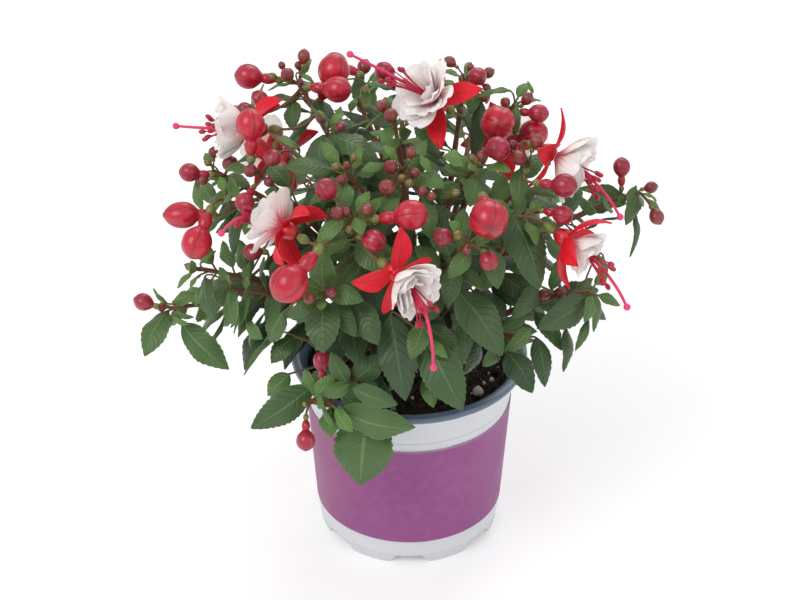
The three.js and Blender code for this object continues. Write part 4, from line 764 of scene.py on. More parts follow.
def leaf_samples(leaf):
    length, along, side, facing = leaf_frame(leaf)
    steps = math.ceil(length / SAMPLE_STEP)
    columns = max(2, math.ceil(leaf["width"] / SAMPLE_STEP))
    share = ratio(0.1, 1, np.arange(1, steps + 1) / steps)[:, None]
    across = np.linspace(-1, 1, columns + 1)[None]
    half = leaf["width"] / 2 * leaf_outline(share)
    rise = leaf_rise(length, half, share, across)
    offsets = (share * length + 0 * across)[..., None] * along + (across * half)[..., None] * side
    return (leaf["base"] + offsets + rise[..., None] * facing).reshape(-1, 3)


def stalk_bend(leaf):
    """Where a stalk bends, if it comes from beside the blade's foot or from before it: it swings in from
    behind and under the blade."""
    _, along, _, facing = leaf_frame(leaf)
    reach = leaf["base"] - leaf["root"]
    far = np.linalg.norm(reach)
    if reach @ along > BENT_BELOW * far:
        return None
    return leaf["base"] - along * BEND_BACK * far - facing * BEND_UNDER * far


def petiole_samples(leaf):
    bent = stalk_bend(leaf)
    if bent is not None:
        return bezier(leaf["root"], bent, leaf["base"], BENT_SAMPLES)[BENT_SAMPLES // 4 :]
    return np.array([ratio(leaf["root"], leaf["base"], share) for share in (0.4, 0.7, 1)])


def carried(vectors, before, after):
    """Vectors turned by the least turn that takes one unit vector to another."""
    both = before + after
    return [v - both * (both @ v) / (1 + before @ after + 1e-9) + after * 2 * (before @ v) for v in vectors]


BLADE_COLUMNS = np.array((-1, -0.82, -0.55, -0.25, 0, 0.25, 0.55, 0.82, 1))
SMALL_BLADE_COLUMNS = np.array((-1, -0.5, 0, 0.5, 1))
TOOTH = 0.035
EDGE_WAVE = 0.05
BLADE_THICK = 0.42
STALK_SHARES = (0, 0.5, 0.95)
BENT_SHARES = (0, 0.2, 0.4, 0.6, 0.8, 0.96)
MIDRIB_DEPTH = 0.3


def leaf_stalk(leaf, count):
    """Rings along a leaf's stalk, with twice as many points as the blade has columns. They turn as little as
    can be on the way from the blade back to the stem."""
    _, heading, side, facing = leaf_frame(leaf)
    inset = math.pi / (2 * count)
    over, under = np.linspace(math.pi - inset, inset, count), np.linspace(-inset, inset - math.pi, count)
    angles = np.concatenate((over, under))
    bent = stalk_bend(leaf)
    shares = STALK_SHARES if bent is None else BENT_SHARES
    if bent is None:
        bent = (leaf["root"] + leaf["base"]) / 2
    centres = [(1 - t) ** 2 * leaf["root"] + 2 * t * (1 - t) * bent + t**2 * leaf["base"] for t in shares]
    ways = [unit(b - a) for a, b in zip(centres, centres[1:] + [leaf["base"]])]
    stalk = []
    for centre, after in zip(centres[::-1], ways[::-1]):
        side, facing = carried((side, facing), heading, after)
        heading = after
        ring = np.cos(angles)[:, None] * side + 0.85 * np.sin(angles)[:, None] * facing
        stalk.append(centre + PETIOLE_RADIUS * ring)
    return np.array(stalk[::-1])


def leaf_body(body, leaf, age, draw):
    """A closed thin blade on its stalk, with a toothed edge, a sunk midrib and a tip that turns down."""
    length, along, side, facing = leaf_frame(leaf)
    small = leaf["width"] < SMALL_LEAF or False
    columns = SMALL_BLADE_COLUMNS if small else BLADE_COLUMNS
    rows = 10 if small else int(np.clip(length * 0.7, 16, 30))
    share = np.linspace(0.012, 0.994, rows)[:, None]
    across = columns[None]
    half = np.maximum(leaf["width"] / 2 * leaf_outline(share), 0.12)
    half[0] = max(half[0, 0], PETIOLE_RADIUS)
    odd = (np.arange(rows) % 2)[:, None] * np.sin(math.pi * share) ** 0.4
    tooth = np.where(np.abs(across) == 1, 1 + 2 * TOOTH * odd - TOOTH, 1)
    bow, droop, phase = (draw.random() - 0.5) * 0.1, 0.02 + 0.06 * draw.random(), draw.random() * 6
    rise = leaf_rise(length, half, share, across) - droop * length * share**3
    rise += EDGE_WAVE * half * np.abs(across) ** 3 * np.sin(15 * share + phase + across)
    sideways = across * half * tooth + bow * length * (share**2 - share)
    lengthways = share * length + odd * (np.abs(across) == 1) * length * 0.3 / rows
    flat = leaf["base"] + lengthways[..., None] * along + sideways[..., None] * side
    middle = flat + rise[..., None] * facing
    sunk = MIDRIB_DEPTH * np.exp(-((across / 0.16) ** 2)) * np.sin(math.pi * share) ** 0.5
    dome = 0.3 * (1 - across**2)
    upper = middle + (BLADE_THICK / 2 - sunk + dome)[..., None] * facing
    lower = middle + (-BLADE_THICK / 2 - sunk * 1.3 + dome)[..., None] * facing
    blade = np.concatenate((upper, lower[:, ::-1]), 1)

    count = len(columns)
    stalk = leaf_stalk(leaf, count)
    grid = np.concatenate((stalk, blade))
    u = np.concatenate(((columns + 1) / 2, (1 - columns) / 2, [0]))
    v = np.concatenate((np.linspace(-0.3, -0.02, len(stalk)), share[:, 0]))
    finish = np.zeros((len(grid) - 1, 2 * count), int)
    finish[len(stalk) :, count : 2 * count - 1] = 1
    body.loft(grid, u, v, age, finish)


# Buds: rows of radius, height and place along, in radii of the bud from its middle along the way it points.
# The place is under 0.2 on the ovary, under 0.45 on the tube and up to 1 on the bud itself.
BUD_PROFILES = {
    "long": [
        (0.1, -2.78, 0), (0.25, -2.62, 0.05), (0.31, -2.35, 0.12), (0.22, -2.1, 0.2), (0.32, -1.95, 0.24),
        (0.43, -1.6, 0.32), (0.42, -1.3, 0.39), (0.36, -1.08, 0.45), (0.6, -0.84, 0.52), (0.88, -0.48, 0.6),
        (1, -0.02, 0.7), (0.94, 0.4, 0.79), (0.72, 0.76, 0.88), (0.38, 1, 0.95), (0.1, 1.12, 1),
    ],
    "round": [
        (0.14, -1.95, 0), (0.34, -1.72, 0.08), (0.36, -1.42, 0.14), (0.28, -1.22, 0.2), (0.42, -1.08, 0.3),
        (0.6, -0.9, 0.45), (0.9, -0.48, 0.58), (1, -0.02, 0.7), (0.93, 0.4, 0.8), (0.7, 0.76, 0.89),
        (0.36, 1, 0.95), (0.08, 1.16, 1),
    ],
    "green": [
        (0.16, -1.9, 0), (0.38, -1.55, 0.1), (0.36, -1.2, 0.2), (0.55, -0.95, 0.4), (0.9, -0.4, 0.6),
        (1, 0.05, 0.7), (0.8, 0.6, 0.85), (0.4, 1.05, 0.95), (0.06, 1.4, 1),
    ],
    "opening": [
        (0.1, -2.5, 0), (0.27, -2.35, 0.06), (0.32, -2.1, 0.13), (0.24, -1.88, 0.2), (0.36, -1.74, 0.25),
        (0.47, -1.4, 0.34), (0.44, -1.12, 0.42), (0.5, -0.98, 0.46), (0.78, -0.66, 0.54), (0.97, -0.2, 0.64),
        (0.98, 0.3, 0.74), (0.86, 0.78, 0.84), (0.58, 1.2, 0.93), (0.1, 1.55, 1),
    ],
}
BUD_BACKS = {"long": -2.5, "round": -1.05, "opening": -2.4, "green": -1.4}
SEAM_DEPTH = 0.07
SEAM_WIDTH = 0.12
LOBE = 0.025


def bud_body(body, middle, direction, diameter, kind, age, turn):
    """A closed bud: its ovary, its short tube, and four sepals that meet in seams and at a small beak."""
    half = diameter / 2
    sides, steps = (32, 3) if diameter >= 11 else (24, 2) if diameter >= SMALL_BUD else (16, 1)
    profile = spline(BUD_PROFILES[kind], steps)
    angle = round_angles(sides)
    from_seam = np.abs((angle + math.pi / 4) % (math.pi / 2) - math.pi / 4)
    strength = np.clip((profile[:, 1] + 0.9) / 1.1, 0, 1)[:, None]
    groove = SEAM_DEPTH * np.exp(-((from_seam / SEAM_WIDTH) ** 2)) + LOBE * (1 + np.cos(4 * angle)) / 2
    radius = half * np.maximum(profile[:, 0], 0.04)[:, None] * (1 - strength * groove)
    circle = spun(angle + turn, *square_to(direction))
    grid = middle + radius[..., None] * circle + (half * profile[:, 1])[:, None, None] * direction
    body.loft(grid, np.linspace(0, 1, sides + 1), profile[:, 2], age)


def stalk_line(stem, middle, direction, back):
    """The line of a stalk that leaves the stem and comes up behind what it bears."""
    root = nearest(stem, middle + direction * (back - 6))
    end = middle + direction * back
    return bezier(root, middle + direction * (back - 0.45 * np.linalg.norm(root - end)), end, 8)


# Blooms. Their frame: the mouth of the tube, the way they open, and one way square to it
def bloom_frame(bloom):
    axis = way(bloom["opens"], bloom.get("behind"))
    first = unit(VIEW_UP - axis * (VIEW_UP @ axis))
    return seen(bloom["mouth"], bloom.get("behind")), axis, rotated(first, axis, math.radians(bloom["turn"]))


def bent_line(radius, height, length, bend, steps):
    """Rows of radius, height and angle in a plane through the bloom's axis, bending from angle to angle."""
    rows = []
    for i in range(steps + 1):
        angle = math.radians(ratio(bend[0], bend[1], i / steps))
        rows.append((radius, height, angle))
        radius += math.sin(angle) * length / steps
        height += math.cos(angle) * length / steps
    return np.array(rows)


def sepal_line(bloom):
    return bent_line(MOUTH_RADIUS - 1, -1.4, bloom["sepal"], bloom["bend"], 3)


def petal_line(bloom, share):
    flare = (bloom["flare"][0] * share, bloom["flare"][1] * share)
    return bent_line(ratio(0.8, 1.9, share), 1, bloom["petal"] * ratio(0.8, 1, share), flare, 2)


def style_line(bloom, frame, steps):
    mouth, axis, _ = frame
    end = seen(bloom["style_end"], bloom.get("behind"))
    start = mouth + axis * 4
    return bezier(start, start + axis * 0.5 * np.linalg.norm(end - start), end, steps)


PETAL_COLUMNS = np.array((-1, -0.9, -0.7, -0.45, -0.2, 0, 0.2, 0.45, 0.7, 0.9, 1))
LIP = 1.0
CREASE = 0.12
SEPAL_CURVE = 13


def petal_body(body, frame, azimuth, line, width, form, age):
    """A sepal or petal along a line of radii, heights and angles. Its form: how thick it is, how far it is
    twisted under its neighbour, the radius it curves round across it, how far it is ruffled and rounded at
    its end, and where its ruffles begin."""
    mouth, axis, first = frame
    thick, twist, curve, ruffle, rounded, phase = form
    curve = np.broadcast_to(curve, len(line))[:, None]
    outwards = rotated(first, axis, azimuth)
    tangent = np.cross(axis, outwards)
    radius, height, angle = (line[:, i, None, None] for i in range(3))
    share = np.linspace(0, 1, len(line))[:, None]
    across = PETAL_COLUMNS[None]
    normal = outwards * np.cos(angle) - axis * np.sin(angle)
    lengthways = outwards * np.sin(angle) + axis * np.cos(angle)
    side = tangent * math.cos(twist) + normal * math.sin(twist)
    half = width[:, None] / 2
    bow = across * half / curve
    out = curve * (np.cos(bow) - 1) + ruffle * share**2 * np.sin(across * 4.4 + phase + 2.5 * share)
    out = out + ruffle * 0.45 * share**4 * np.sin(across * 9 + phase * 2) + LIP * share**7
    out = out - CREASE * np.exp(-((across / 0.12) ** 2)) * np.sin(math.pi * share)
    back = rounded * half * across**2 * share**4
    middle = mouth + outwards * radius + axis * height + side * (curve * np.sin(bow))[..., None]
    middle = middle + normal * out[..., None] - lengthways * back[..., None]
    thin = (thick * (1 - 0.5 * across**4) * (1 - 0.5 * share**4))[..., None]
    upper = middle + normal * thin
    grid = np.concatenate((upper, middle[:, ::-1]), 1)
    u = np.concatenate(((PETAL_COLUMNS + 1) / 2, (1 - PETAL_COLUMNS) / 2, [0]))
    finish = np.zeros((len(grid) - 1, 2 * len(PETAL_COLUMNS)), int)
    finish[:, len(PETAL_COLUMNS) :] = 1
    body.loft(grid, u, share[:, 0], age, finish)


SEPAL_WIDTHS = [(0, 0.36), (0.18, 0.74), (0.36, 1), (0.55, 0.97), (0.74, 0.72), (0.89, 0.36), (1, 0.03)]
PETAL_WIDTHS = [(0, 0.14), (0.14, 0.5), (0.34, 0.88), (0.6, 1.04), (0.82, 1.0), (0.94, 0.78), (1, 0.5)]


def widths(rows, count, width):
    shares, sizes = np.array(rows).T
    smooth = spline(np.stack((shares, sizes), -1), 6)
    return width * np.interp(np.linspace(0, 1, count), smooth[:, 0], smooth[:, 1])


def calyx_body(bloom, frame, draw):
    body = Body()
    mouth, axis, _ = frame
    tube = spline([
        (1.6, -TUBE_LENGTH, 0), (2.6, -TUBE_LENGTH + 0.5, 0.06), (3.5, -TUBE_LENGTH * 0.78, 0.2),
        (TUBE_RADIUS + 0.5, -TUBE_LENGTH * 0.5, 0.5), (4.5, -TUBE_LENGTH * 0.22, 0.75), (3.6, -1.2, 0.9),
        (3.4, -0.4, 0.97), (2.6, 0, 1),
    ], 2)
    body.turned(tube, 24, mouth, axis, (draw.random(), 0.2), 2)
    line = spline(sepal_line(bloom), 7)
    for i in range(4):
        form = (0.75, 0, SEPAL_CURVE, 0.3, 0.1, draw.random() * 6)
        width = widths(SEPAL_WIDTHS, len(line), SEPAL_WIDTH)
        petal_body(body, frame, i * math.pi / 2, line, width, form, (draw.random(), 0.5))
    return body


# The petals' layers from the outer one in: how far out each stands and flares, as a share, how many petals it
# has, the turn of the first, and how wide, how far twisted and how ruffled they are
PETAL_LAYERS = [
    (1, 5, 0.4, PETAL_WIDTH * 1.3, PETAL_TWIST * 0.55, 0.6),
    (0.82, 5, 1.03, PETAL_WIDTH * 1.15, PETAL_TWIST * 0.6, 0.7),
    (0.6, 4, 0.9, PETAL_WIDTH * 0.95, PETAL_TWIST * 0.8, 0.8),
    (0.36, 3, 0.2, PETAL_WIDTH * 0.7, PETAL_TWIST, 0.8),
]


def corolla_body(bloom, frame, draw):
    """The petals in their layers. The disc that bears them stands on the tube."""
    body = Body()
    mouth, axis, _ = frame
    disc = np.array([(0.4, GAP, 0), (2.6, GAP, 0), (2.9, 1, 0.02), (2, 1.7, 0.04), (0.4, 1.9, 0.05)])
    body.turned(disc, 16, mouth, axis, (0.5, 1))
    for share, count, start, width, twist, ruffle in PETAL_LAYERS:
        line = spline(petal_line(bloom, share), 7)
        curve = np.maximum(line[:, 0] * 1.15, 4.5)
        for i in range(count):
            form = (0.45, twist, curve, ruffle, 0.25 + 0.2 * draw.random(), draw.random() * 6)
            azimuth = 2 * math.pi * i / count + start
            size = widths(PETAL_WIDTHS, len(line), width * ratio(0.93, 1.06, draw.random()))
            petal_body(body, frame, azimuth, line, size, form, (draw.random(), share))
    return body


STAMEN_COUNT = 8
KNOB = [(0.5, -0.6, 0), (1.3, 0.1, 0.2), (1.75, 1.3, 0.5), (1.5, 2.5, 0.8), (0.4, 3.2, 1)]
ANTHER = [(0.2, -0.5, 0), (0.95, 0.2, 0.25), (1.3, 1.5, 0.6), (1.0, 2.9, 0.85), (0.1, 3.5, 1)]


def stamens_body(bloom, frame, draw):
    body = Body()
    mouth, axis, first = frame
    line = style_line(bloom, frame, 24)
    forward = unit(line[-1] - line[-2])
    line = np.concatenate(([mouth + axis * 2], line, [line[-1] + forward * 0.8]))
    body.tube(line, np.linspace(1.0, 0.72, len(line)), 10, (0.9, 0.5))
    body.turned(spline(KNOB, 3), 16, line[-1], forward, (1, 0.5))
    smooth = style_line(bloom, frame, 100)
    for i in range(STAMEN_COUNT):
        inner = i >= STAMEN_COUNT // 2
        azimuth = 2 * math.pi * i / 4 + 0.3 + (0.785 if inner else 0)
        outwards = rotated(first, axis, azimuth)
        reach = 0.5 + 0.05 * (i % 3) - (0.09 if inner else 0)
        stop = smooth[round(reach * 100)] + outwards * (4.5 + i % 2 - (1.2 if inner else 0))
        start = mouth + axis * 3 + outwards * 0.8
        thread = bezier(start, start + axis * 0.5 * np.linalg.norm(stop - start), stop, 12)
        body.tube(thread, np.linspace(0.5, 0.36, 13), 6, (draw.random() * 0.4, 0.5))
        direction = unit(thread[-1] - thread[-3])
        body.turned(spline(ANTHER, 2), 8, stop, direction, (draw.random() * 0.3, 0.1))
    return body


# Pot
def wall_radius(z):
    return ratio(FOOT_RADIUS, COLLAR_RADIUS, z / COLLAR_TOP)


def notch_heights(angles):
    """How high the foot's lower edge stands at each angle: 0 between notches."""
    pitch = 2 * math.pi / NOTCH_COUNT
    from_notch = np.abs((angles + math.pi / 2 + pitch / 2) % pitch - pitch / 2)
    slope = (NOTCH_HALF_FOOT - from_notch) / (NOTCH_HALF_FOOT - NOTCH_HALF_TOP)
    return NOTCH_HEIGHT * np.clip(slope, 0, 1)


def pot_body():
    """The shell from the middle of its floor's upper face, up inside, over the rim, down outside, round the
    notched foot and back under the floor. It is blue as far as the lip's outer face and white from there."""
    body = Body()
    pitch = 2 * math.pi / NOTCH_COUNT
    half = np.array(FOOT_CORNERS) * math.pi / 180
    sector = np.concatenate((half, pitch - half[:0:-1]))
    angles = np.concatenate([sector + i * pitch - math.pi / 2 for i in range(NOTCH_COUNT)])
    if len(angles) % 2:
        angles = np.delete(angles, len(half))
    lift = notch_heights(angles)
    floor = FLOOR_HEIGHT + FLOOR_THICK
    lip = RIM_TOP - LIP_DROP
    inner = COLLAR_RADIUS - WALL
    at_floor, at_step, at_lip = (wall_radius(z) for z in (floor, STEP_HEIGHT, lip))
    blue = [
        (0.5, floor), (25, floor), (at_floor - WALL - 1, floor), (at_floor - WALL, floor + 1),
        (wall_radius(50) - WALL, 50), (inner, lip - 1), (inner + 0.6, lip + 0.4),
        (BORE_RADIUS - 0.5, RIM_TOP - 0.9), (BORE_RADIUS + 0.3, RIM_TOP - 0.1), (BORE_RADIUS + 1.6, RIM_TOP),
        (RIM_RADIUS - 1.9, RIM_TOP), (RIM_RADIUS - 0.7, RIM_TOP - 0.25), (RIM_RADIUS - 0.1, RIM_TOP - 0.9),
        (RIM_RADIUS, RIM_TOP - 1.6), (RIM_RADIUS - 0.15, lip + 2.2),
    ]
    white = [
        (RIM_RADIUS - 0.6, lip + 1.4), (RIM_RADIUS - 1.6, lip + 1.1), (at_lip + 1.2, lip + 0.6),
        (at_lip + STEP, lip - 0.4), (wall_radius(97) + STEP, 97), (at_step + STEP, STEP_HEIGHT + 0.7),
        (at_step + STEP * 0.7, STEP_HEIGHT + 0.25), (at_step + 0.05, STEP_HEIGHT),
        (wall_radius(70), 70), (wall_radius(40), 40), (wall_radius(10), 10), (wall_radius(6.4), 6.4),
        (FOOT_RADIUS - 0.1, 5.9), (FOOT_RADIUS - 0.35, 5.5),
    ]
    foot_out, foot_in = FOOT_RADIUS - 0.35, FOOT_RADIUS - FOOT_WIDTH
    below = [(foot_out, 0.7), (foot_out - 0.5, 0), (foot_in + 0.5, 0), (foot_in, 0.6)]
    last = [(foot_in, FLOOR_HEIGHT), (25, FLOOR_HEIGHT), (0.5, FLOOR_HEIGHT)]
    radii = [row[0] for row in blue + white + below + last]
    heights = [row[1] for row in blue + white]
    heights += [np.minimum(lift + row[1], FLOOR_HEIGHT - 0.6) for row in below]
    heights += [row[1] for row in last]
    circle = np.stack((np.cos(angles), np.sin(angles)), -1)
    grid = [level_ring(circle, radius, z) for radius, z in zip(radii, heights)]
    finish = np.ones((len(grid) - 1, len(angles)), int)
    finish[len(blue) :] = 0
    across = np.append(angles - angles[0], 2 * math.pi) / (2 * math.pi)
    body.loft(grid, across, np.linspace(0, 1, len(grid)), (0.5, 0.5), finish)
    return body


def bored(made):
    """The pot with its drain holes cut through the floor."""
    drills = Body()
    for i in range(DRAIN_COUNT):
        angle = 2 * math.pi * i / DRAIN_COUNT
        place = np.array((DRAIN_CIRCLE * math.cos(angle), DRAIN_CIRCLE * math.sin(angle), 0))
        ends = ((FLOOR_HEIGHT - 1, 0), (FLOOR_HEIGHT + FLOOR_THICK + 1, 1))
        drills.turned(np.array([(DRAIN_RADIUS, z, at) for z, at in ends]), 32, place, UP)
    tool = placed("drills", mesh_of("drills", drills))
    cut = made.modifiers.new("drains", "BOOLEAN")
    cut.operation, cut.object, cut.solver = "DIFFERENCE", tool, "EXACT"
    graph = bpy.context.evaluated_depsgraph_get()
    whole = bpy.data.meshes.new_from_object(made.evaluated_get(graph))
    made.modifiers.clear()
    made.data = whole
    bpy.data.objects.remove(tool)


def label_body():
    """The sleeve: a thin closed shell all the way round the wall."""
    body = Body()
    angles = np.linspace(0, 2 * math.pi, LABEL_SIDES, endpoint=False)
    circle = np.stack((np.cos(angles), np.sin(angles)), -1)
    inner, outer = GAP, GAP + LABEL_THICK
    heights = np.linspace(LABEL_BOTTOM, LABEL_TOP, 15)
    rows = [(inner, heights[0]), (outer - 0.12, heights[0]), (outer, heights[0] + 0.15)]
    rows += [(outer, z) for z in heights[1:-1]]
    rows += [(outer, heights[-1] - 0.15), (outer - 0.12, heights[-1]), (inner, heights[-1])]
    rows += [(inner, z) for z in (60, 40)]
    grid = np.array([level_ring(circle, wall_radius(z) + offset, z) for offset, z in rows])
    along = (np.array([z for _, z in rows]) - LABEL_BOTTOM) / (LABEL_TOP - LABEL_BOTTOM)
    body.ring(grid.transpose(1, 0, 2), np.linspace(0, 1, len(circle) + 1), along)
    return body


# Draws and placing
class Draws:
    """Seeded draws from 0 to 1: the same seed gives the same leaves."""

    MASK = 0xFFFFFFFF
    STRIDE = 0x6D2B79F5

    def __init__(self, seed):
        self.state = seed

    def random(self):
        self.state = (self.state + self.STRIDE) & self.MASK
        t = self.state
        t = ((t ^ (t >> 15)) * (t | 1)) & self.MASK
        t ^= (t + (((t ^ (t >> 7)) * (t | 61)) & self.MASK)) & self.MASK
        return ((t ^ (t >> 14)) & self.MASK) / (self.MASK + 1)


room = Room()
stems = {}
foliage = {name: Body() for name in SPRAYS}
buds = {name: Body() for name in SPRAYS}
bloom_frames = {}
FINISH_STEM = 2
FINISH_OVARY = 3


def grow_stems():
    for name, spray in SPRAYS.items():
        at, line = stem_curve(spray)
        stems[name] = line
        whole = np.concatenate(([at], line))
        radii = np.linspace(STEM_RADII[0] * 1.1, STEM_RADII[1] * 0.8, len(whole))
        radii *= 1 + 0.1 * np.cos(np.arange(len(whole)) * 1.6)
        foliage[name].tube(whole, radii, 10, (0.5, 0.3), FINISH_STEM)
        room.take(line, STEM_RADII[0], name, "stalk")
    for name in LIMBS:
        room.take(limb_curve(name, 10), LIMB_RADII[0], "crown", "stalk")


def sepal_places(bloom, frame):
    """Places along the middles of a bloom's four sepals, from beyond their feet."""
    mouth, axis, first = frame
    for i in range(4):
        outwards = rotated(first, axis, i * math.pi / 2)
        for radius, height, _ in sepal_line(bloom)[1:]:
            yield mouth + axis * height + outwards * radius


def take_bloom(name, bloom, frame):
    """What a bloom fills, as balls."""
    mouth, axis, _ = frame
    tube = [mouth - axis * TUBE_LENGTH * share for share in (0.8, 0.2)]
    room.take(tube, TUBE_RADIUS, name, "bloom")
    room.take(mouth - axis * (TUBE_LENGTH + OVARY_LENGTH / 2), 3, bloom["spray"], "ovary")
    for radius, height, _ in petal_line(bloom, 1)[1:]:
        room.take(mouth + axis * height, radius + 1.5, name, "bloom")
    for place in sepal_places(bloom, frame):
        room.take(place, 4, name, "bloom")
    room.take(style_line(bloom, frame, 12), 2.2, name, "bloom")
    room.take(style_line(bloom, frame, 10)[3:7], 6, name, "bloom")


def grow_blooms():
    for name, bloom in BLOOMS.items():
        frame = bloom_frame(bloom)
        bloom_frames[name] = frame
        take_bloom(name, bloom, frame)
        mouth, axis, _ = frame
        spray = bloom["spray"]
        front = mouth - axis * (TUBE_LENGTH + GAP)
        stalk = stalk_line(stems[spray][8:], front, axis, -OVARY_LENGTH)
        foliage[spray].tube(stalk, np.linspace(0.9, 0.7, len(stalk)), 8, (0.5, 0.5), FINISH_STEM)
        foliage[spray].turned(spline(OVARY, 3), 16, front, axis, (0.5, 0.5), FINISH_OVARY)
        room.take(stalk[::4], STALK_ROOM, spray, "stalk")


def grow_buds(small):
    """The large buds come before the leaves, and the small ones after them."""
    for number, (name, spray) in enumerate(SPRAYS.items()):
        for count, row in enumerate(spray["buds"]):
            diameter, kind = row[3], row[7]
            if (diameter < SMALL_BUD) != small:
                continue
            draw = Draws(number * 100 + count)
            middle, direction = seen(row[:3], spray.get("behind")), way(row[4:7], spray.get("behind"))
            youth = 1 if kind == "green" else np.clip((15 - diameter) / 9, 0, 0.9)
            age = (draw.random(), float(youth))
            bud_body(buds[name], middle, direction, diameter, kind, age, draw.random() * 6)
            stalk = stalk_line(stems[name][8:], middle, direction, BUD_BACKS[kind] * diameter / 2)
            radii = np.linspace(1.3, 1, 9) * (FINE_STALK_RADIUS if small else STALK_RADIUS)
            foliage[name].tube(stalk, radii, 6, (draw.random(), 0.5), FINISH_STEM)
            room.take(middle, diameter / 2, name, "bud")
            if kind != "round":
                room.take(middle - direction * 0.7 * diameter, diameter / 4, name, "bud")
            room.take(stalk[::4], STALK_ROOM, name, "stalk")


def leaf_root(nodes, base, tip):
    """Where a leaf grows from its stem: near the foot of its blade, and behind it rather than before it."""
    reach = base - nodes
    return nodes[np.argmin(np.linalg.norm(reach, axis=1) * ROOT_SLACK - reach @ unit(tip - base))]


def leaf_tone_and_youth(name, leaf, draw):
    """A leaf's tone, and its youth: its tone is drawn at random and painted darker the lower the leaf stands,
    a painted shade; small leaves are young, and so are those of a light spray."""
    length = np.linalg.norm(leaf["tip"] - leaf["base"])
    # The lower the leaf, the darker its tone: a painted shade
    high = (leaf["base"][2] - SHADED_LEAF_HEIGHT) / (LIT_LEAF_HEIGHT - SHADED_LEAF_HEIGHT)
    youth = float(np.clip((27 - length) / 22, 0, 1)) * 0.85 + LIGHT_SPRAYS.get(name, 0)
    return float(np.clip(0.5 * draw.random() + 0.6 * high, 0, 1)), min(1, youth + 0.25 * draw.random())


def grow_leaf(name, leaf, number, kept=True):
    draw = Draws(number)
    leaf_body(foliage[name], leaf, leaf_tone_and_youth(name, leaf, draw), draw)
    room.take(leaf_samples(leaf), SAMPLE_RADIUS, name, "leaf")
    if kept:
        room.take(petiole_samples(leaf), PETIOLE_ROOM, name, "stalk")


def fits(leaf, name, radius, own_radius, stalk_room=PETIOLE_ROOM, skip=0):
    """Whether a leaf's blade and its stalk are clear of what is already in the bush."""
    if not room.clear(leaf_samples(leaf), radius, name, own_radius):
        return False
    return room.clear(petiole_samples(leaf)[skip:], stalk_room, name, 0)


def read_leaf(name, row, move, nodes):
    """A leaf as listed, moved in or out along its face, and its root among these nodes."""
    behind = SPRAYS[name].get("behind")
    leaf = {"base": seen(row[:3], behind), "tip": seen(row[3:6], behind), "width": row[6], "roll": row[7]}
    facing = leaf_frame(leaf)[3]
    base, tip = leaf["base"] + facing * move, leaf["tip"] + facing * move
    return {**leaf, "base": base, "tip": tip, "root": leaf_root(nodes, base, tip)}


def grow_read_leaves(small):
    """The leaves given one by one: one that would cross something moves in or out until it is clear."""
    radius = 1 if small else SAMPLE_RADIUS
    for order, (name, spray) in enumerate(SPRAYS.items()):
        for number, row in enumerate(spray["leaves"]):
            if (row[6] < SMALL_LEAF) != small:
                continue
            nodes = stems[name][6 : len(stems[name]) - number % 4]
            tries = [read_leaf(name, row, move, nodes) for move in MOVES]
            rooms = (STEM_RADII[0] + STEM_ROOM, 0)
            clear = (leaf for own in rooms for leaf in tries if fits(leaf, name, radius, own))
            found = next(clear, None)
            if found:
                grow_leaf(name, found, order * 1000 + number)


def along_stem(line, share):
    """The place and the way of a stem at a share of its points."""
    at = share * (len(line) - 1)
    low = min(int(at), len(line) - 2)
    return ratio(line[low], line[low + 1], at - low), unit(line[low + 1] - line[low])


def leaf_by_rule(line, share, turn, sizes, spread, draw):
    """A leaf that leaves its stem at a share of it, on the side that its turn about the stem gives."""
    root, along = along_stem(line, share)
    side, normal = square_to(along)
    angle = turn + (draw.random() - 0.5) * LEAF_SWING
    rise = ratio(LEAF_RISE, LEAF_RISE_MOST, draw.random())
    direction = unit(side * math.cos(angle) + normal * math.sin(angle) + along * rise)
    size = ratio(sizes[0], sizes[1], share**2) * ratio(spread[0], spread[1], draw.random())
    base = root + direction * PETIOLE
    tip = base + direction * size - UP * (size * LEAF_DROOP * draw.random())
    roll = (draw.random() - 0.5) * LEAF_ROLL
    return {"root": root, "base": base, "tip": tip, "width": size * LEAF_SHAPE, "roll": roll}


def over_rim(points):
    over = np.hypot(points[:, 0], points[:, 1]) < RIM_RADIUS + 2
    return bool((over & (points[:, 2] < RIM_TOP + 2)).any())


def inside_box(points):
    return not ((points < START_LOW - EDGE_ROOM).any() or (points > START_HIGH + EDGE_ROOM).any())


def in_pairs(first, last, count_pairs):
    """Where pairs of leaves may leave each stem, each pair square to the one before: the spray, its number,
    the leaf's number, its share of the stem and its turn about it."""
    for number, (name, spray) in enumerate(SPRAYS.items()):
        length = np.linalg.norm(np.diff(stems[name], axis=0), axis=1).sum()
        pairs = count_pairs(length, spray.get("behind"))
        for pair in range(pairs):
            share = ratio(first, last, pair / max(1, pairs - 1))
            for half in range(2):
                turn = (pair % 2) * math.pi / 2 + half * math.pi
                yield name, number, number * 1000 + pair * 10 + half, share, turn


def grow_rule_leaves():
    """The leaves placed by rule, along each stem."""

    def pairs(length, behind):
        return int(length * (1 - FIRST_LEAF) / (BACK_LEAF_SPACING if behind else LEAF_SPACING))

    for name, number, leaf_number, share, turn in in_pairs(FIRST_LEAF, 0.97, pairs):
        draw = Draws(SEED + leaf_number)
        for _ in range(TRIES):
            leaf = leaf_by_rule(stems[name], share, turn + number, LEAF_LENGTHS, (0.85, 1.1), draw)
            if over_rim(leaf_samples(leaf)):
                continue
            if fits(leaf, name, SAMPLE_RADIUS, STEM_RADII[0] + STEM_ROOM, skip=1):
                grow_leaf(name, leaf, leaf_number + 500, False)
                break


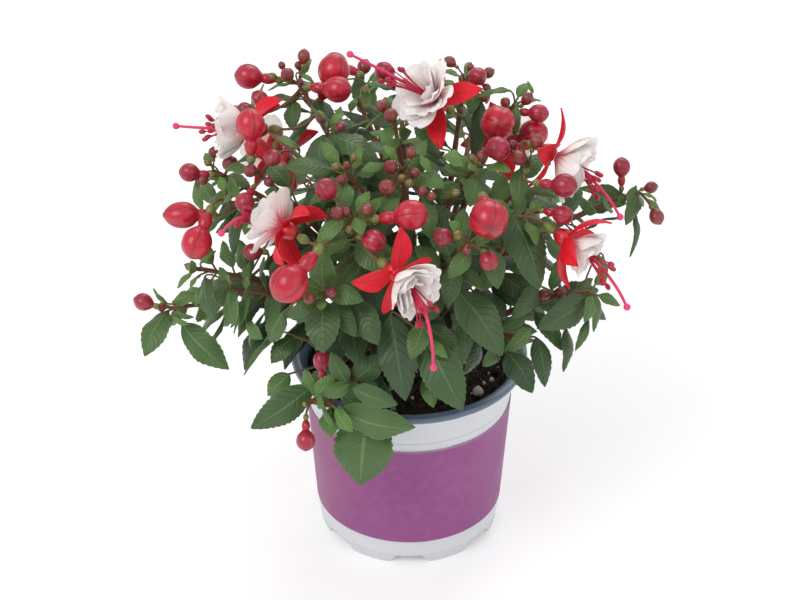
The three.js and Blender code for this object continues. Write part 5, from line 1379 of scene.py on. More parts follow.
def kept_open():
    """What the viewer sees and no further leaf may cover, as places in the view with a radius."""
    rows = []
    for name, bloom in BLOOMS.items():
        frame = bloom_frames[name]
        rows += [(frame[0] + frame[1] * height, radius + 4) for radius, height, _ in petal_line(bloom, 1)]
        rows += [(place, 6) for place in sepal_places(bloom, frame)]
        rows += [(place, 4) for place in style_line(bloom, frame, 12)]
    for spray in SPRAYS.values():
        for row in spray["buds"]:
            if row[3] >= SMALL_BUD:
                middle = seen(row[:3], spray.get("behind"))
                rows.append((middle, row[3] / 2 + 1))
                rows.append((middle - way(row[4:7], spray.get("behind")) * row[3] * 0.9, row[3] / 4 + 1))
    places = in_view(np.array([place for place, _ in rows]))
    return np.column_stack((places, [radius for _, radius in rows]))


def grow_filling_leaves():
    """Smaller leaves between the others, as full as the bush is. None hides a bud or bloom from the viewer,
    widens the bush's outline, hangs before the pot or lies over the open soil."""
    open_rows = kept_open()
    outline = in_view(room.rows[: room.count, :3])[:, :2]

    def allowed(points):
        if not inside_box(points) or over_rim(points):
            return False
        from_axis = np.hypot(points[:, 0], points[:, 1])
        if ((points[:, 1] < 0) & (from_axis < FRONT_ROOM) & (points[:, 2] < RIM_TOP + 2)).any():
            return False
        view = in_view(points)
        left, right, low, high = SOIL_WINDOW
        window = (view[:, 0] > left) & (view[:, 0] < right) & (view[:, 1] > low) & (view[:, 1] < high)
        if window.any():
            return False
        gaps = np.linalg.norm(view[:, None, :2] - open_rows[None, :, :2], axis=2)
        if ((gaps < open_rows[:, 3]) & (view[:, None, 2] > open_rows[None, :, 2] - 3)).any():
            return False
        near = np.linalg.norm(view[:, None, :2] - outline[None], axis=2).min(1)
        return bool((near < OUTLINE_ROOM).all())

    def pairs(length, _):
        return max(2, int(length * 0.75 / FILL_SPACING))

    for name, number, leaf_number, share, turn in in_pairs(0.25, 1, pairs):
        draw = Draws(FILL_SEED + leaf_number)
        turn += number * 2
        for attempt in range(FILL_TRIES):
            sizes = (34 - attempt, 14 - attempt * 0.3)
            leaf = leaf_by_rule(stems[name], share, turn, sizes, (0.8, 1.15), draw)
            turn += 0.5
            if allowed(leaf_samples(leaf)) and fits(leaf, name, FILL_ROOM, STEM_RADII[0], 0.5, 1):
                grow_leaf(name, leaf, leaf_number + 700, False)
                break


def grow_closing_leaves():
    for number, (name, row) in enumerate(CLOSING_LEAVES):
        for move in CLOSING_MOVES:
            leaf = read_leaf(name, row, move, stems[name][6:])
            blade = leaf_samples(leaf)
            if inside_box(blade) and not over_rim(blade) and fits(leaf, name, FILL_ROOM, 1, 0.5):
                grow_leaf(name, leaf, 50000 + number, False)
                break


def grow_cut_twig():
    """A short twig that was cut back, and its side end with the paler cut."""
    body = foliage["low_left"]
    line, side = (np.array([seen(place) for place in places]) for places in (CUT_TWIG, CUT_SIDE))
    body.tube(line, np.array((1.5, 1.7, 1.4)), 10, (0.6, 0.1), FINISH_STEM)
    body.tube(side, np.array((1.1, 1.1, 1.5)), 10, (0.8, 0.6), FINISH_STEM)
    cut = np.array([(1.2, 0, 0), (1.4, 0.3, 0.4), (0.9, 0.5, 0.7), (0.1, 0.3, 1)])
    body.turned(cut, 10, side[-1], unit(side[-1] - side[-2]), (0.5, 0.5), FINISH_OVARY)


# Soil, stump and limbs
def soil_height(x, y):
    from_axis = np.hypot(x, y) / BORE_RADIUS
    lumps = np.sin(x * 0.37 + 1.3) * np.sin(y * 0.41 + 0.4) + np.sin(x * 0.83 - y * 0.71)
    return SOIL_TOP + SOIL_HEAP * (1 - from_axis**2) + SOIL_ROUGHNESS * lumps


def lump(body, place, size, draw, age, finish):
    """A rough grain: a turned body of a few sides, each corner pushed in or out."""
    direction = unit(np.array([draw.random() - 0.5 for _ in range(3)]) + UP * 0.1)
    side, normal = square_to(direction)
    grid = []
    for radius, height in ((0.35, -0.8), (0.85, -0.4), (1, 0.1), (0.7, 0.6), (0.25, 0.85)):
        angles = (np.arange(8) + draw.random()) * math.pi / 4
        sizes = size * radius * (0.8 + 0.4 * np.array([draw.random() for _ in range(8)]))
        grid.append(place + sizes[:, None] * spun(angles, side, normal) + direction * height * size)
    body.loft(grid, np.linspace(0, 1, 9), np.linspace(0, 1, 5), age, finish)


def soil_skin(draw):
    """The soil's closed skin round the stump's hole, over its rough top and down the wall, and how far out
    its top reaches."""
    circle = np.stack((np.cos(round_angles(SOIL_SIDES)), np.sin(round_angles(SOIL_SIDES))), -1)
    floor = FLOOR_HEIGHT + FLOOR_THICK + GAP

    def wall_at(z):
        return (wall_radius(z) - WALL - GAP) * SOIL_SLACK

    crumbs = np.array([[draw.random() - 0.5 for _ in range(SOIL_SIDES)] for _ in range(SOIL_RINGS)])
    hole = ((0.5, STUMP_FOOT - GAP), (HOLE_RADIUS, STUMP_FOOT - GAP), (HOLE_RADIUS, 97))
    grid = [level_ring(circle, radius, z) for radius, z in hole]
    outer = wall_at(SOIL_TOP - 2)
    for i, radius in enumerate(np.linspace(HOLE_RADIUS + 0.3, outer, SOIL_RINGS)):
        wander = radius + (0.5 * crumbs[i - 1] if 0 < i < SOIL_RINGS - 1 else 0)
        x, y = circle[:, 0] * wander, circle[:, 1] * wander
        grid.append(np.stack((x, y, soil_height(x, y) + CRUMB * crumbs[i]), -1))
    grid += [level_ring(circle, wall_at(z), z) for z in (90, 60, floor)]
    grid.append(level_ring(circle, 0.5, floor))
    return grid, outer


def strew_crumbs(body, outer, draw):
    """Loose crumbs, every ninth of them a grain of perlite."""
    for i in range(CRUMB_COUNT):
        radius, angle = outer * math.sqrt(0.02 + 0.9 * draw.random()), draw.random() * 2 * math.pi
        x, y = radius * math.cos(angle), radius * math.sin(angle)
        if radius < STUMP_RADIUS + 3 or radius > outer - 3:
            continue
        white = i % 9 == 0
        size = 0.6 + 0.9 * draw.random() if white else 0.7 + 1.9 * draw.random() ** 2
        place = np.array((x, y, float(soil_height(x, y)) + 0.2 * size))
        lump(body, place, size, draw, (draw.random(), 0.5), 1 if white else 0)


def strew_fibres(body, outer, draw):
    for _ in range(FIBRE_COUNT):
        radius, angle = (outer - 9) * math.sqrt(draw.random()), draw.random() * 2 * math.pi
        heading, length = draw.random() * 2 * math.pi, 4 + 8 * draw.random()
        xs = radius * math.cos(angle) + np.linspace(-0.5, 0.5, 6) * length * math.cos(heading)
        ys = radius * math.sin(angle) + np.linspace(-0.5, 0.5, 6) * length * math.sin(heading)
        if np.hypot(xs, ys).max() > outer - 2:
            continue
        lift = 0.6 + 0.8 * np.sin(np.linspace(0, math.pi, 6)) * draw.random()
        body.tube(np.stack((xs, ys, soil_height(xs, ys) + lift), -1), 0.28, 6, (draw.random(), 0.5), 2)


def soil_body():
    """Soil to just under the rim, with crumbs, perlite and a few root fibres on it."""
    body = Body()
    draw = Draws(31)
    grid, outer = soil_skin(draw)
    body.loft(grid, np.linspace(0, 1, SOIL_SIDES + 1), np.linspace(0, 1, len(grid)), (0.5, 0.5))
    for x, y, size in GRAINS:
        lump(body, np.array((x, y, float(soil_height(x, y)))), size, draw, (draw.random(), 0.5), 1)
    strew_crumbs(body, outer, draw)
    strew_fibres(body, outer, draw)
    return body


def stump_body():
    """The woody stump and its limbs, which grew as one piece."""
    body = Body()
    rows = [
        (STUMP_RADIUS * 0.5, STUMP_FOOT, 0), (STUMP_RADIUS * 0.85, STUMP_FOOT + 3, 0.1),
        (STUMP_RADIUS * 0.95, STUMP_TOP - 20, 0.5), (STUMP_RADIUS, STUMP_TOP - 14, 0.7),
        (STUMP_RADIUS * 0.92, STUMP_TOP - 6, 0.85), (STUMP_RADIUS * 0.8, STUMP_TOP - 2, 0.95),
        (STUMP_RADIUS * 0.3, STUMP_TOP, 1),
    ]
    body.turned(spline(rows, 4), 24, np.zeros(3), UP)
    for i, name in enumerate(LIMBS):
        line = limb_curve(name, 20)
        radii = np.linspace(LIMB_RADII[0], LIMB_RADII[1], 21)
        knots = 1 + 0.12 * np.maximum(0, np.cos(np.arange(21) * 1.1 + i)) ** 4
        body.tube(line, radii * knots, 12, (0.1 * i, 0.4))
    return body


# Finishes
def colour(red, green, blue):
    """A colour given as it is seen, 0 to 255, as light."""
    seen_as = np.array((red, green, blue)) / 255
    light = np.where(seen_as <= 0.04045, seen_as / 12.92, ((seen_as + 0.055) / 1.055) ** 2.4)
    return (*light.tolist(), 1.0)


def as_light(tint):
    return colour(*tint) if isinstance(tint, tuple) else tint


class Nodes:
    """Short ways to add shader nodes to a tree. A value is a number or another node's output, and a colour
    may be three numbers as it is seen."""

    def __init__(self, tree):
        self.tree = tree

    def add(self, kind, inputs=None, **settings):
        node = self.tree.nodes.new(kind)
        for key, value in settings.items():
            setattr(node, key, value)
        for key, value in (inputs or {}).items():
            if isinstance(value, bpy.types.NodeSocket):
                self.tree.links.new(value, node.inputs[key])
            else:
                node.inputs[key].default_value = value
        return node

    def maths(self, operation, *values):
        return self.add("ShaderNodeMath", dict(enumerate(values)), operation=operation).outputs[0]

    def times(self, first, second):
        return self.maths("MULTIPLY", first, second)

    def plus(self, first, second):
        return self.maths("ADD", first, second)

    def minus(self, first, second):
        return self.maths("SUBTRACT", first, second)

    def away(self, value, middle):
        """How far a value is from a middle one."""
        return self.maths("ABSOLUTE", self.minus(value, middle))

    def sawtooth(self, value, count):
        """How far a value is from the middle of its step, with a count of steps from 0 to 1."""
        return self.away(self.maths("FRACT", self.times(value, count)), 0.5)

    def ribs(self, value, rate):
        return self.maths("SINE", self.times(value, rate))

    def between(self, value, low, high, to_low=0.0, to_high=1.0):
        """A smooth step of a value from one range to another, held at its ends."""
        inputs = {"Value": value, "From Min": low, "From Max": high, "To Min": to_low, "To Max": to_high}
        return self.add("ShaderNodeMapRange", inputs, interpolation_type="SMOOTHSTEP").outputs[0]

    def blend(self, share, first, second):
        inputs = {0: share, 6: as_light(first), 7: as_light(second)}
        return self.add("ShaderNodeMix", inputs, data_type="RGBA").outputs[2]

    def coats(self, tint, *coats):
        """Colours laid over one another, each as its mask, the weight of that mask and its colour."""
        for mask, weight, coat in coats:
            tint = self.blend(mask if weight == 1 else self.times(mask, weight), tint, coat)
        return tint

    def ramp(self, value, *stops):
        node = self.add("ShaderNodeValToRGB", {0: value})
        for i, (at, tone) in enumerate(stops):
            stop = node.color_ramp.elements[i] if i < 2 else node.color_ramp.elements.new(at)
            stop.position, stop.color = at, as_light(tone)
        return node.outputs[0]

    def split(self, vector):
        return self.add("ShaderNodeSeparateXYZ", {0: vector}).outputs

    def layer(self, name):
        """The two numbers of a named layer of the mesh."""
        return self.split(self.add("ShaderNodeUVMap", uv_map=name).outputs[0])[:2]

    def noise(self, vector, scale, detail):
        inputs = {"Vector": vector, "Scale": scale, "Detail": detail}
        return self.add("ShaderNodeTexNoise", inputs).outputs[0]

    def use(self, tree, **inputs):
        return self.add("ShaderNodeGroup", inputs, node_tree=tree).outputs


def effect(name, inputs, outputs):
    """An empty node group with named inputs, each with its value or None for a place, and named outputs."""
    tree = bpy.data.node_groups.new(name, "ShaderNodeTree")
    for socket, value in inputs.items():
        kind = "NodeSocketVector" if value is None else "NodeSocketFloat"
        made = tree.interface.new_socket(socket, in_out="INPUT", socket_type=kind)
        if value is not None:
            made.default_value = value
    for socket in outputs:
        tree.interface.new_socket(socket, in_out="OUTPUT", socket_type="NodeSocketFloat")
    nodes = Nodes(tree)
    return nodes, nodes.add("NodeGroupInput").outputs, nodes.add("NodeGroupOutput").inputs


def give(nodes, outputs, **values):
    for name, value in values.items():
        nodes.tree.links.new(value, outputs[name])
    return nodes.tree


def mottling():
    """Soft patches in two sizes, from 0 to 1."""
    n, given, out = effect("mottling", {"Place": None, "Size": 200.0, "Spread": 1.0}, ("Patches", "Specks"))
    broad = n.noise(given["Place"], given["Size"], 3.0)
    fine = n.noise(given["Place"], n.times(given["Size"], 7.0), 2.0)
    half = n.times(given["Spread"], 0.25)
    patches = n.between(broad, n.minus(0.5, half), n.plus(0.5, half))
    return give(n, out, Patches=patches, Specks=n.between(fine, 0.35, 0.7))


def leaf_veining():
    """A leaf's midrib, its side veins that bend towards the tip, and the swelling between them."""
    inputs = {"Across": 0.5, "Along": 0.5, "Pairs": 8.0, "Width": 0.2}
    n, given, out = effect("leaf_veining", inputs, ("Midrib", "Veins", "Swelling", "Edge"))
    off = n.times(n.away(given["Across"], 0.5), 2.0)
    rib = n.between(off, 0.0, n.between(given["Along"], 0.0, 1.0, 0.13, 0.05), 1.0, 0.0)
    bent = n.times(n.maths("POWER", off, 1.35), 0.24)
    apart = n.sawtooth(n.minus(given["Along"], bent), given["Pairs"])
    apart = n.minus(1.0, n.times(apart, 2.0))
    line = n.between(apart, 0.0, given["Width"], 1.0, 0.0)
    inner = n.between(off, 0.7, 1.0, 1.0, 0.0)
    swelling = n.times(n.between(apart, 0.0, 0.6), inner)
    edge = n.between(off, 0.86, 1.0)
    return give(n, out, Midrib=rib, Veins=n.times(line, inner), Swelling=swelling, Edge=edge)


def petal_veining():
    """Fine veins that run from the foot of a petal or sepal and fade, with a crease down its middle."""
    inputs = {"Across": 0.5, "Along": 0.5, "Count": 9.0, "Reach": 0.6}
    n, given, out = effect("petal_veining", inputs, ("Veins", "Crease", "Foot"))
    line = n.between(n.sawtooth(given["Across"], given["Count"]), 0.0, 0.16, 1.0, 0.0)
    foot = n.between(given["Along"], 0.0, given["Reach"], 1.0, 0.0)
    crease = n.between(n.away(given["Across"], 0.5), 0.0, 0.06, 1.0, 0.0)
    return give(n, out, Veins=n.times(line, foot), Crease=crease, Foot=foot)


def skin_grain():
    """A fine pebbled height for plant skins and plastics."""
    n, given, out = effect("skin_grain", {"Place": None, "Size": 900.0}, ("Height",))
    cells = n.add("ShaderNodeTexVoronoi", {"Vector": given["Place"], "Scale": given["Size"]}).outputs[0]
    noise = n.noise(given["Place"], given["Size"], 2.0)
    return give(n, out, Height=n.plus(n.times(cells, 0.5), noise))


MOTTLING = mottling()
LEAF_VEINING = leaf_veining()
PETAL_VEINING = petal_veining()
SKIN_GRAIN = skin_grain()


class Finish:
    """A material: its nodes, its patches and specks, and its shader with what is the same all over on it."""

    def __init__(self, name, size, spread=1.2, **sockets):
        self.material = bpy.data.materials.new(name)
        self.material.use_nodes = True
        self.material.node_tree.nodes.clear()
        self.nodes = Nodes(self.material.node_tree)
        self.shader = self.nodes.add("ShaderNodeBsdfPrincipled")
        for key, value in sockets.items():
            self.shader.inputs[key.replace("_", " ")].default_value = value
        self.nodes.add("ShaderNodeOutputMaterial", {"Surface": self.shader.outputs[0]})
        self.place = self.nodes.add("ShaderNodeTexCoord").outputs["Object"]
        mottled = self.nodes.use(MOTTLING, Place=self.place, Size=size, Spread=spread)
        self.patches, self.specks = mottled["Patches"], mottled["Specks"]

    def grain(self, size=900.0):
        return self.nodes.use(SKIN_GRAIN, Place=self.place, Size=size)["Height"]

    def feed(self, base, rough, height=None, depth=0.0003, strength=0.5):
        """Colour, roughness as its driver, its two ends and that driver's range, and relief in metres."""
        driver, smooth, dull, low, high = (*rough, 0.0, 1.0)[:5]
        sockets = {"Base Color": base, "Roughness": self.nodes.between(driver, low, high, smooth, dull)}
        if height is not None:
            inputs = {"Height": height, "Distance": depth, "Strength": strength}
            sockets["Normal"] = self.nodes.add("ShaderNodeBump", inputs).outputs[0]
        for socket, value in sockets.items():
            self.nodes.tree.links.new(value, self.shader.inputs[socket])
        return self.material


def leaf_upper():
    """Deep green with sunk veins, lighter where young, a reddish stalk and a thin pale edge."""
    finish = Finish("leaf_upper", 110.0, 1.4)
    n = finish.nodes
    across, along = n.layer("place")
    tone, youth = n.layer("age")
    veins = n.use(LEAF_VEINING, Across=across, Along=along, Pairs=8.0, Width=0.22)
    pale = n.blend(youth, (96, 126, 84), (162, 188, 106))
    green = n.coats(
        n.blend(tone, (30, 50, 34), (58, 82, 44)),
        (finish.patches, 0.45, (24, 48, 36)),
        (youth, 1, n.blend(tone, (78, 118, 48), (104, 142, 60))),
        (veins["Swelling"], 0.16, (78, 106, 70)),
        (veins["Veins"], 0.14, pale),
        (veins["Midrib"], 0.42, pale),
        (veins["Edge"], 0.14, pale),
        (n.between(along, -0.06, 0.015, 1.0, 0.0), 1, n.blend(tone, (112, 62, 52), (120, 118, 64))),
    )
    height = n.minus(n.minus(n.times(veins["Swelling"], 0.6), veins["Veins"]), veins["Midrib"])
    height = n.plus(height, n.times(finish.grain(), 0.25))
    return finish.feed(green, (finish.patches, 0.36, 0.52), height, 0.0003, 0.6)


def leaf_under():
    """Paler and greyer, with the veins standing out."""
    finish = Finish("leaf_under", 150.0)
    n = finish.nodes
    across, along = n.layer("place")
    tone, youth = n.layer("age")
    veins = n.use(LEAF_VEINING, Across=across, Along=along, Pairs=8.0, Width=0.26)
    green = n.coats(
        n.blend(tone, (84, 116, 78), (112, 142, 92)),
        (youth, 1, (150, 176, 104)),
        (finish.patches, 0.3, (90, 122, 84)),
        (veins["Veins"], 0.45, (158, 176, 126)),
        (veins["Midrib"], 0.7, (172, 150, 118)),
    )
    height = n.plus(veins["Veins"], n.times(veins["Midrib"], 1.5))
    return finish.feed(green, (finish.specks, 0.5, 0.68), height, 0.0004, 0.6)


def young_stem():
    """Red-brown to green stalks and stems, with fine ribs along them."""
    finish = Finish("young_stem", 240.0)
    n = finish.nodes
    tone, youth = n.layer("age")
    tint = n.coats(
        n.blend(tone, (112, 44, 46), (138, 62, 56)),
        (youth, 1, (120, 112, 60)),
        (finish.patches, 0.4, (92, 78, 50)),
    )
    height = n.plus(n.times(n.ribs(n.layer("place")[0], 38.0), 0.4), finish.specks)
    return finish.feed(tint, (finish.specks, 0.4, 0.6), height, 0.0002)


def ovary_skin():
    """The green seed vessel behind a bloom."""
    finish = Finish("ovary_skin", 400.0, Coat_Weight=0.25, Coat_Roughness=0.25)
    n = finish.nodes
    tint = n.ramp(n.layer("place")[1], (0.0, (126, 92, 56)), (0.35, (112, 134, 56)), (1.0, (138, 118, 56)))
    tint = n.coats(tint, (finish.patches, 0.3, (88, 116, 48)))
    return finish.feed(tint, (finish.specks, 0.3, 0.45), finish.specks, 0.0002, 0.3)


def bud_skin():
    """Crimson and glossy when full, dusky to green when small, with dark seams and a green foot."""
    finish = Finish("bud_skin", 220.0, 1.3, Coat_Weight=0.3, Coat_Roughness=0.18)
    n = finish.nodes
    across, along = n.layer("place")
    tone, youth = n.layer("age")
    stripes = n.maths("ABSOLUTE", n.ribs(across, 100.5))
    seam = n.times(n.between(n.sawtooth(across, 4.0), 0.42, 0.5), n.between(along, 0.45, 0.55))
    tint = n.coats(
        n.blend(tone, (196, 20, 48), (214, 30, 56)),
        (n.between(youth, 0.0, 0.35), 1, n.blend(tone, (158, 22, 54), (184, 36, 60))),
        (n.between(youth, 0.5, 0.85), 1, n.blend(tone, (124, 40, 50), (146, 74, 62))),
        (n.between(youth, 0.88, 1.0), 1, n.blend(tone, (116, 116, 58), (138, 134, 72))),
        (finish.patches, 0.4, (132, 14, 44)),
        (n.between(stripes, 0.0, 0.3, 0.28, 0.0), 1, (110, 10, 38)),
        (n.between(along, 0.9, 1.0), 0.45, (96, 34, 36)),
        (seam, 0.6, (92, 12, 32)),
        (n.between(along, 0.4, 0.5, 1.0, 0.0), 0.6, (170, 20, 44)),
        (n.between(along, 0.17, 0.22, 1.0, 0.0), 1, (110, 116, 54)),
    )
    height = n.plus(n.minus(n.times(stripes, 0.12), seam), n.times(finish.grain(), 0.2))
    return finish.feed(tint, (finish.patches, 0.26, 0.4), height, 0.0002)


def sepal_skin(name, low, high, vein, sheen):
    """A sepal's face: scarlet, with lengthwise veins and a faint crease, deeper at its foot."""
    finish = Finish(name, 160.0, 1.3, Coat_Weight=sheen, Coat_Roughness=0.25, Specular_IOR_Level=0.3)
    n = finish.nodes
    across, along = n.layer("place")
    veins = n.use(PETAL_VEINING, Across=across, Along=along, Count=11.0, Reach=1.3)
    tint = n.coats(
        low,
        (finish.patches, 0.7, high),
        (n.layer("age")[0], 0.25, (208, 12, 44)),
        (veins["Veins"], 0.3, vein),
        (veins["Crease"], 0.35, vein),
        (n.between(along, 0.9, 1.0), 0.4, (150, 70, 50)),
    )
    height = n.minus(finish.specks, n.plus(veins["Veins"], veins["Crease"]))
    return finish.feed(tint, (finish.specks, 0.38, 0.55), height, 0.0002, 0.45)


def tube_skin():
    """The glossy red tube that bears the sepals."""
    finish = Finish("tube_skin", 260.0, Coat_Weight=0.4, Coat_Roughness=0.15)
    n = finish.nodes
    across, along = n.layer("place")
    ribs = n.ribs(across, 50.3)
    tint = n.ramp(along, (0.0, (150, 34, 38)), (0.3, (204, 18, 30)), (1.0, (222, 18, 28)))
    tint = n.coats(tint, (n.between(ribs, 0.2, 1.0, 0.0, 0.3), 1, (150, 10, 34)))
    return finish.feed(tint, (finish.patches, 0.24, 0.36), n.plus(ribs, finish.specks), 0.00015, 0.4)


def petal_skin(name, white, shade, blush):
    """A petal's face: warm white, a little grey in patches, its crease greyed as a painted shade, with rose
    veins that run from its foot.
    """
    glow = {"Subsurface_Weight": 0.4, "Subsurface_Scale": PETAL_GLOW, "Subsurface_Radius": (1.0, 0.94, 0.88)}
    finish = Finish(name, 140.0, 1.3, Sheen_Weight=0.15, **glow)
    n = finish.nodes
    across, along = n.layer("place")
    veins = n.use(PETAL_VEINING, Across=across, Along=along, Count=6.0, Reach=0.8)
    tint = n.coats(
        white,
        (finish.patches, 0.5, shade),
        (n.layer("age")[0], 0.2, (250, 236, 228)),
        (n.maths("POWER", veins["Foot"], 3.0), blush, (236, 70, 110)),
        (veins["Veins"], 1, (216, 40, 86)),
        # The crease greyed with the shade tint: a painted shade
        (veins["Crease"], 0.15, shade),
    )
    crepe = n.plus(n.times(n.ribs(across, 60.0), 0.3), finish.patches)
    return finish.feed(tint, (finish.specks, 0.5, 0.65), crepe, 0.0003, 0.4)


def thread_skin():
    """Stamen threads and anthers crimson, and the style and its knob hot pink."""
    finish = Finish("thread_skin", 500.0, Coat_Weight=0.2, Coat_Roughness=0.2)
    n = finish.nodes
    tone, youth = n.layer("age")
    stops = (0.0, (176, 10, 50)), (0.4, (206, 16, 66)), (0.85, (232, 40, 96)), (1.0, (238, 60, 122))
    anthers = n.between(youth, 0.15, 0.4, 0.85, 0.0)
    tint = n.coats(n.ramp(tone, *stops), (anthers, 1, (172, 10, 48)), (finish.patches, 0.25, (172, 14, 62)))
    return finish.feed(tint, (finish.specks, 0.3, 0.5), finish.specks, 0.0002, 0.4)


def woody_bark():
    """Grey-brown bark with cracks along it."""
    finish = Finish("woody_bark", 120.0)
    n = finish.nodes
    across, along = n.layer("place")
    lines = n.add("ShaderNodeCombineXYZ", {0: n.times(across, 9.0), 1: n.times(along, 3.0)}).outputs[0]
    split = n.between(n.noise(lines, 3.0, 5.0), 0.42, 0.6)
    tint = n.coats(n.blend(split, (52, 36, 28), (110, 82, 62)), (finish.patches, 0.4, (82, 68, 52)))
    return finish.feed(tint, (split, 0.9, 0.7), n.plus(split, finish.specks), 0.0006, 0.8)


def potting_mix():
    """Nearly black peat, mottled and crumbly."""
    finish = Finish("potting_mix", 180.0, 1.0)
    n = finish.nodes
    tint = n.coats(
        n.blend(finish.patches, (30, 22, 18), (58, 42, 32)),
        (finish.specks, 0.5, (78, 58, 44)),
        (n.layer("age")[0], 0.3, (44, 30, 22)),
    )
    height = n.plus(finish.grain(420.0), finish.specks)
    return finish.feed(tint, (finish.patches, 0.85, 1.0), height, 0.0012, 0.9)


def perlite():
    """White expanded grains, a little dirty."""
    finish = Finish("perlite_grain", 320.0)
    tint = finish.nodes.coats((226, 222, 214), (finish.patches, 0.6, (182, 170, 154)))
    return finish.feed(tint, (finish.specks, 0.7, 0.95), finish.specks, 0.0004, 0.7)


def root_fibre():
    """Reddish root and bark fibres."""
    finish = Finish("root_fibre", 400.0)
    n = finish.nodes
    tint = n.blend(n.layer("age")[0], (98, 60, 40), (142, 100, 70))
    tint = n.coats(tint, (finish.patches, 0.4, (70, 46, 34)))
    return finish.feed(tint, (finish.specks, 0.7, 0.9), finish.specks)


def pot_white():
    """Moulded white plastic, faintly scuffed, with a soft line of painted shade under its step and another
    where the wall meets its foot, and dust at its foot.
    """
    finish = Finish("pot_white", 22.0)
    n = finish.nodes
    height = n.split(finish.place)[2]
    stretched = n.add("ShaderNodeMapping", {"Vector": finish.place, "Scale": (40.0, 40.0, 340.0)}).outputs[0]
    scuffs = n.noise(stretched, 1.0, 4.0)
    scuff = n.between(scuffs, 0.58, 0.78)
    from_step = n.away(height, (STEP_HEIGHT - 0.4) * MM)
    from_foot = n.away(height, FLOOR_HEIGHT * MM)
    tint = n.coats(
        (213, 214, 218),
        (finish.patches, 0.5, (203, 205, 211)),
        (scuff, 0.12, (176, 180, 190)),
        # Darker lines under the step and where the wall meets the foot: painted shade
        (n.between(from_step, 0.0, 0.0011, 0.4, 0.0), 1, (160, 164, 176)),
        (n.between(from_foot, 0.0, 0.0007, 0.4, 0.0), 1, (160, 162, 170)),
        (n.between(height, 0.0, 0.008, 0.3, 0.0), 1, (186, 184, 182)),
    )
    relief = n.plus(finish.grain(700.0), scuff)
    return finish.feed(tint, (scuffs, 0.34, 0.5, 0.4, 0.7), relief, 0.0001, 0.35)


def pot_blue():
    """The steel-blue rim and inside, glossier, with a painted highlight as a lighter line along the lip."""
    finish = Finish("pot_blue", 40.0, Coat_Weight=0.25, Coat_Roughness=0.2)
    n = finish.nodes
    # A lighter line along the lip: a painted highlight
    lip_highlight = n.between(n.split(finish.place)[2], (RIM_TOP - 1.2) * MM, (RIM_TOP - 0.2) * MM)
    tint = n.coats(
        (88, 108, 130),
        (finish.patches, 0.6, (74, 94, 116)),
        (lip_highlight, 0.3, (112, 138, 168)),
        (finish.specks, 0.12, (96, 92, 92)),
    )
    return finish.feed(tint, (finish.patches, 0.28, 0.4), finish.grain(800.0), 0.0001, 0.3)


def label_print():
    """The plain purple sleeve: satin film, painted a little browner towards its left as a painted shade and
    reflection, lighter along its cut edges.
    """
    finish = Finish("label_print", 30.0, 1.3, Coat_Weight=0.06, Coat_Roughness=0.3, Specular_IOR_Level=0.3)
    n = finish.nodes
    sideways = n.split(finish.place)[0]
    edge = n.away(n.layer("place")[1], 0.5)
    tint = n.coats(
        (146, 76, 132),
        (finish.patches, 0.5, (134, 66, 124)),
        # Browner towards the left: a painted shade and reflection
        (n.between(sideways, (POT_AXIS[0] - 52) * MM, (POT_AXIS[0] - 20) * MM, 0.5, 0.0), 1, (146, 84, 112)),
        (finish.specks, 0.1, (176, 124, 166)),
        (n.between(edge, 0.488, 0.5, 0.0, 0.5), 1, (206, 176, 200)),
    )
    return finish.feed(tint, (finish.patches, 0.42, 0.55), finish.specks, 0.00005, 0.3)


def pale_floor():
    """White and a little lit from below, as a studio table is."""
    finish = Finish("pale_floor", 3.0, 1.0, Emission_Color=(1.0, 1.0, 1.0, 1.0), Emission_Strength=FLOOR_GLOW)
    tint = finish.nodes.coats((250, 250, 250), (finish.patches, 0.5, (248, 248, 249)))
    return finish.feed(tint, (finish.specks, 0.85, 0.9))


# Growing the bush: stems and stalks first, then buds and blooms, then the leaves
grow_stems()
grow_blooms()
grow_buds(small=False)
grow_read_leaves(small=False)
grow_rule_leaves()
grow_buds(small=True)
grow_read_leaves(small=True)
grow_filling_leaves()
grow_closing_leaves()
grow_cut_twig()

# The pieces
pot = piece("pot_shell", pot_body(), (pot_white(), pot_blue()), "pot", 35)
bored(pot)
piece("label_sleeve", label_body(), (label_print(),), "label_band", 35)
piece("potting_soil", soil_body(), (potting_mix(), perlite(), root_fibre()), "soil")
piece("woody_stump", stump_body(), (woody_bark(),), "crown")

foliage_finishes = (leaf_upper(), leaf_under(), young_stem(), ovary_skin())
bud_finish = bud_skin()
for name in SPRAYS:
    piece(f"{name}_foliage", foliage[name], foliage_finishes, f"{name}_spray")
    if buds[name].count:
        piece(f"{name}_buds", buds[name], (bud_finish,), f"{name}_spray")

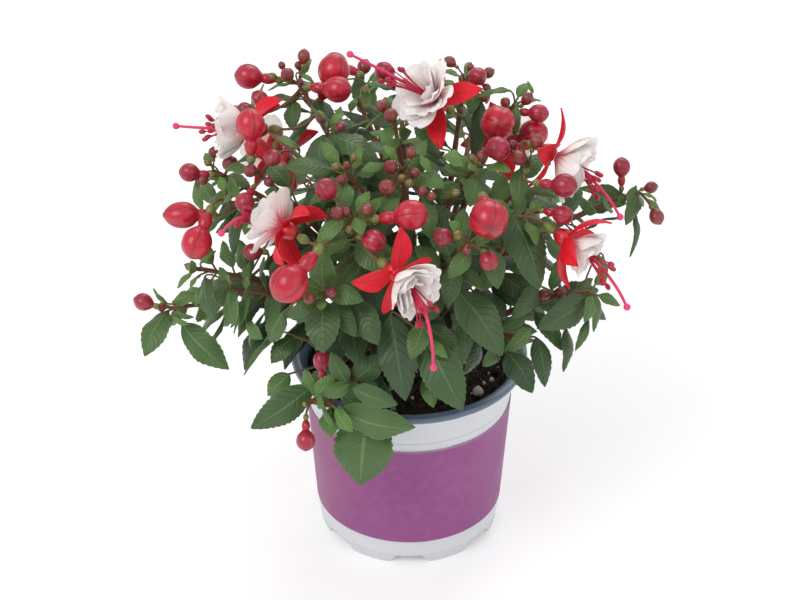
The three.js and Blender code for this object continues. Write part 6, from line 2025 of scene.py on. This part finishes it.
sepal_finishes = (
    sepal_skin("sepal_outer", (230, 14, 40), (208, 6, 32), (152, 2, 26), 0.12),
    sepal_skin("sepal_inner", (230, 20, 44), (210, 10, 36), (162, 4, 30), 0.06),
    tube_skin(),
)
petal_finishes = (
    petal_skin("petal_outer", (255, 253, 249), (252, 247, 243), 0.9),
    petal_skin("petal_inner", (255, 251, 248), (251, 243, 240), 0.95),
)
thread_finish = thread_skin()
for number, (name, bloom) in enumerate(BLOOMS.items()):
    draw = Draws(400 + number)
    made = bloom_frames[name]
    piece(f"{name}_sepals", calyx_body(bloom, made, draw), sepal_finishes, f"{name}_calyx")
    piece(f"{name}_petals", corolla_body(bloom, made, draw), petal_finishes, f"{name}_corolla")
    piece(f"{name}_threads", stamens_body(bloom, made, draw), (thread_finish,), f"{name}_stamens")


# Floor, light and camera
def lay_floor():
    half = 4.0
    corners = [(-half, -half, 0), (half, -half, 0), (half, half, 0), (-half, half, 0)]
    mesh = bpy.data.meshes.new("pale_floor")
    mesh.from_pydata(corners, [], [(0, 1, 2, 3)])
    mesh.materials.append(pale_floor())
    floor = placed("pale_floor", mesh)


def soft_light(name, place, target, size, power):
    lamp = bpy.data.lights.new(name, "AREA")
    lamp.shape, lamp.size, lamp.energy = "DISK", size, power
    made = placed(name, lamp)
    made.location = place
    made.rotation_euler = (Vector(target) - Vector(place)).to_track_quat("-Z", "Y").to_euler()


def light_world():
    world = bpy.data.worlds.new("pale_studio")
    world.use_nodes = True
    sky = world.node_tree.nodes["Background"].inputs
    sky["Color"].default_value = (1.0, 1.0, 1.0, 1.0)
    sky["Strength"].default_value = WORLD_LIGHT
    bpy.context.scene.world = world


def set_camera():
    """The camera at the photograph's angle: straight ahead of the pot, looking down on it."""
    target = (POT_AXIS + VIEW_POINT) * MM
    camera = bpy.data.cameras.new("photo_camera")
    camera.sensor_width = 36.0
    camera.lens = camera.sensor_width * FOCAL_PIXELS / PICTURE_WIDTH
    camera.clip_start, camera.clip_end = 0.05, 20
    made = placed("photo_camera", camera)
    made.location = target + VIEW_BACK * VIEW_DISTANCE * MM
    made.rotation_euler = (math.pi / 2 - VIEW_TILT, 0, 0)
    bpy.context.scene.camera = made


lay_floor()
light_world()
centre = (POT_AXIS[0] * MM, POT_AXIS[1] * MM, 0.15)
soft_light("key_light", (-0.9, -0.9, 1.5), centre, 1.2, KEY_POWER)
soft_light("fill_light", (1.2, -0.8, 0.9), centre, 1.4, FILL_POWER)
soft_light("back_light", (0.3, 1.2, 1.4), centre, 1.2, BACK_POWER)
set_camera()
bpy.context.scene.view_settings.view_transform = "Standard"
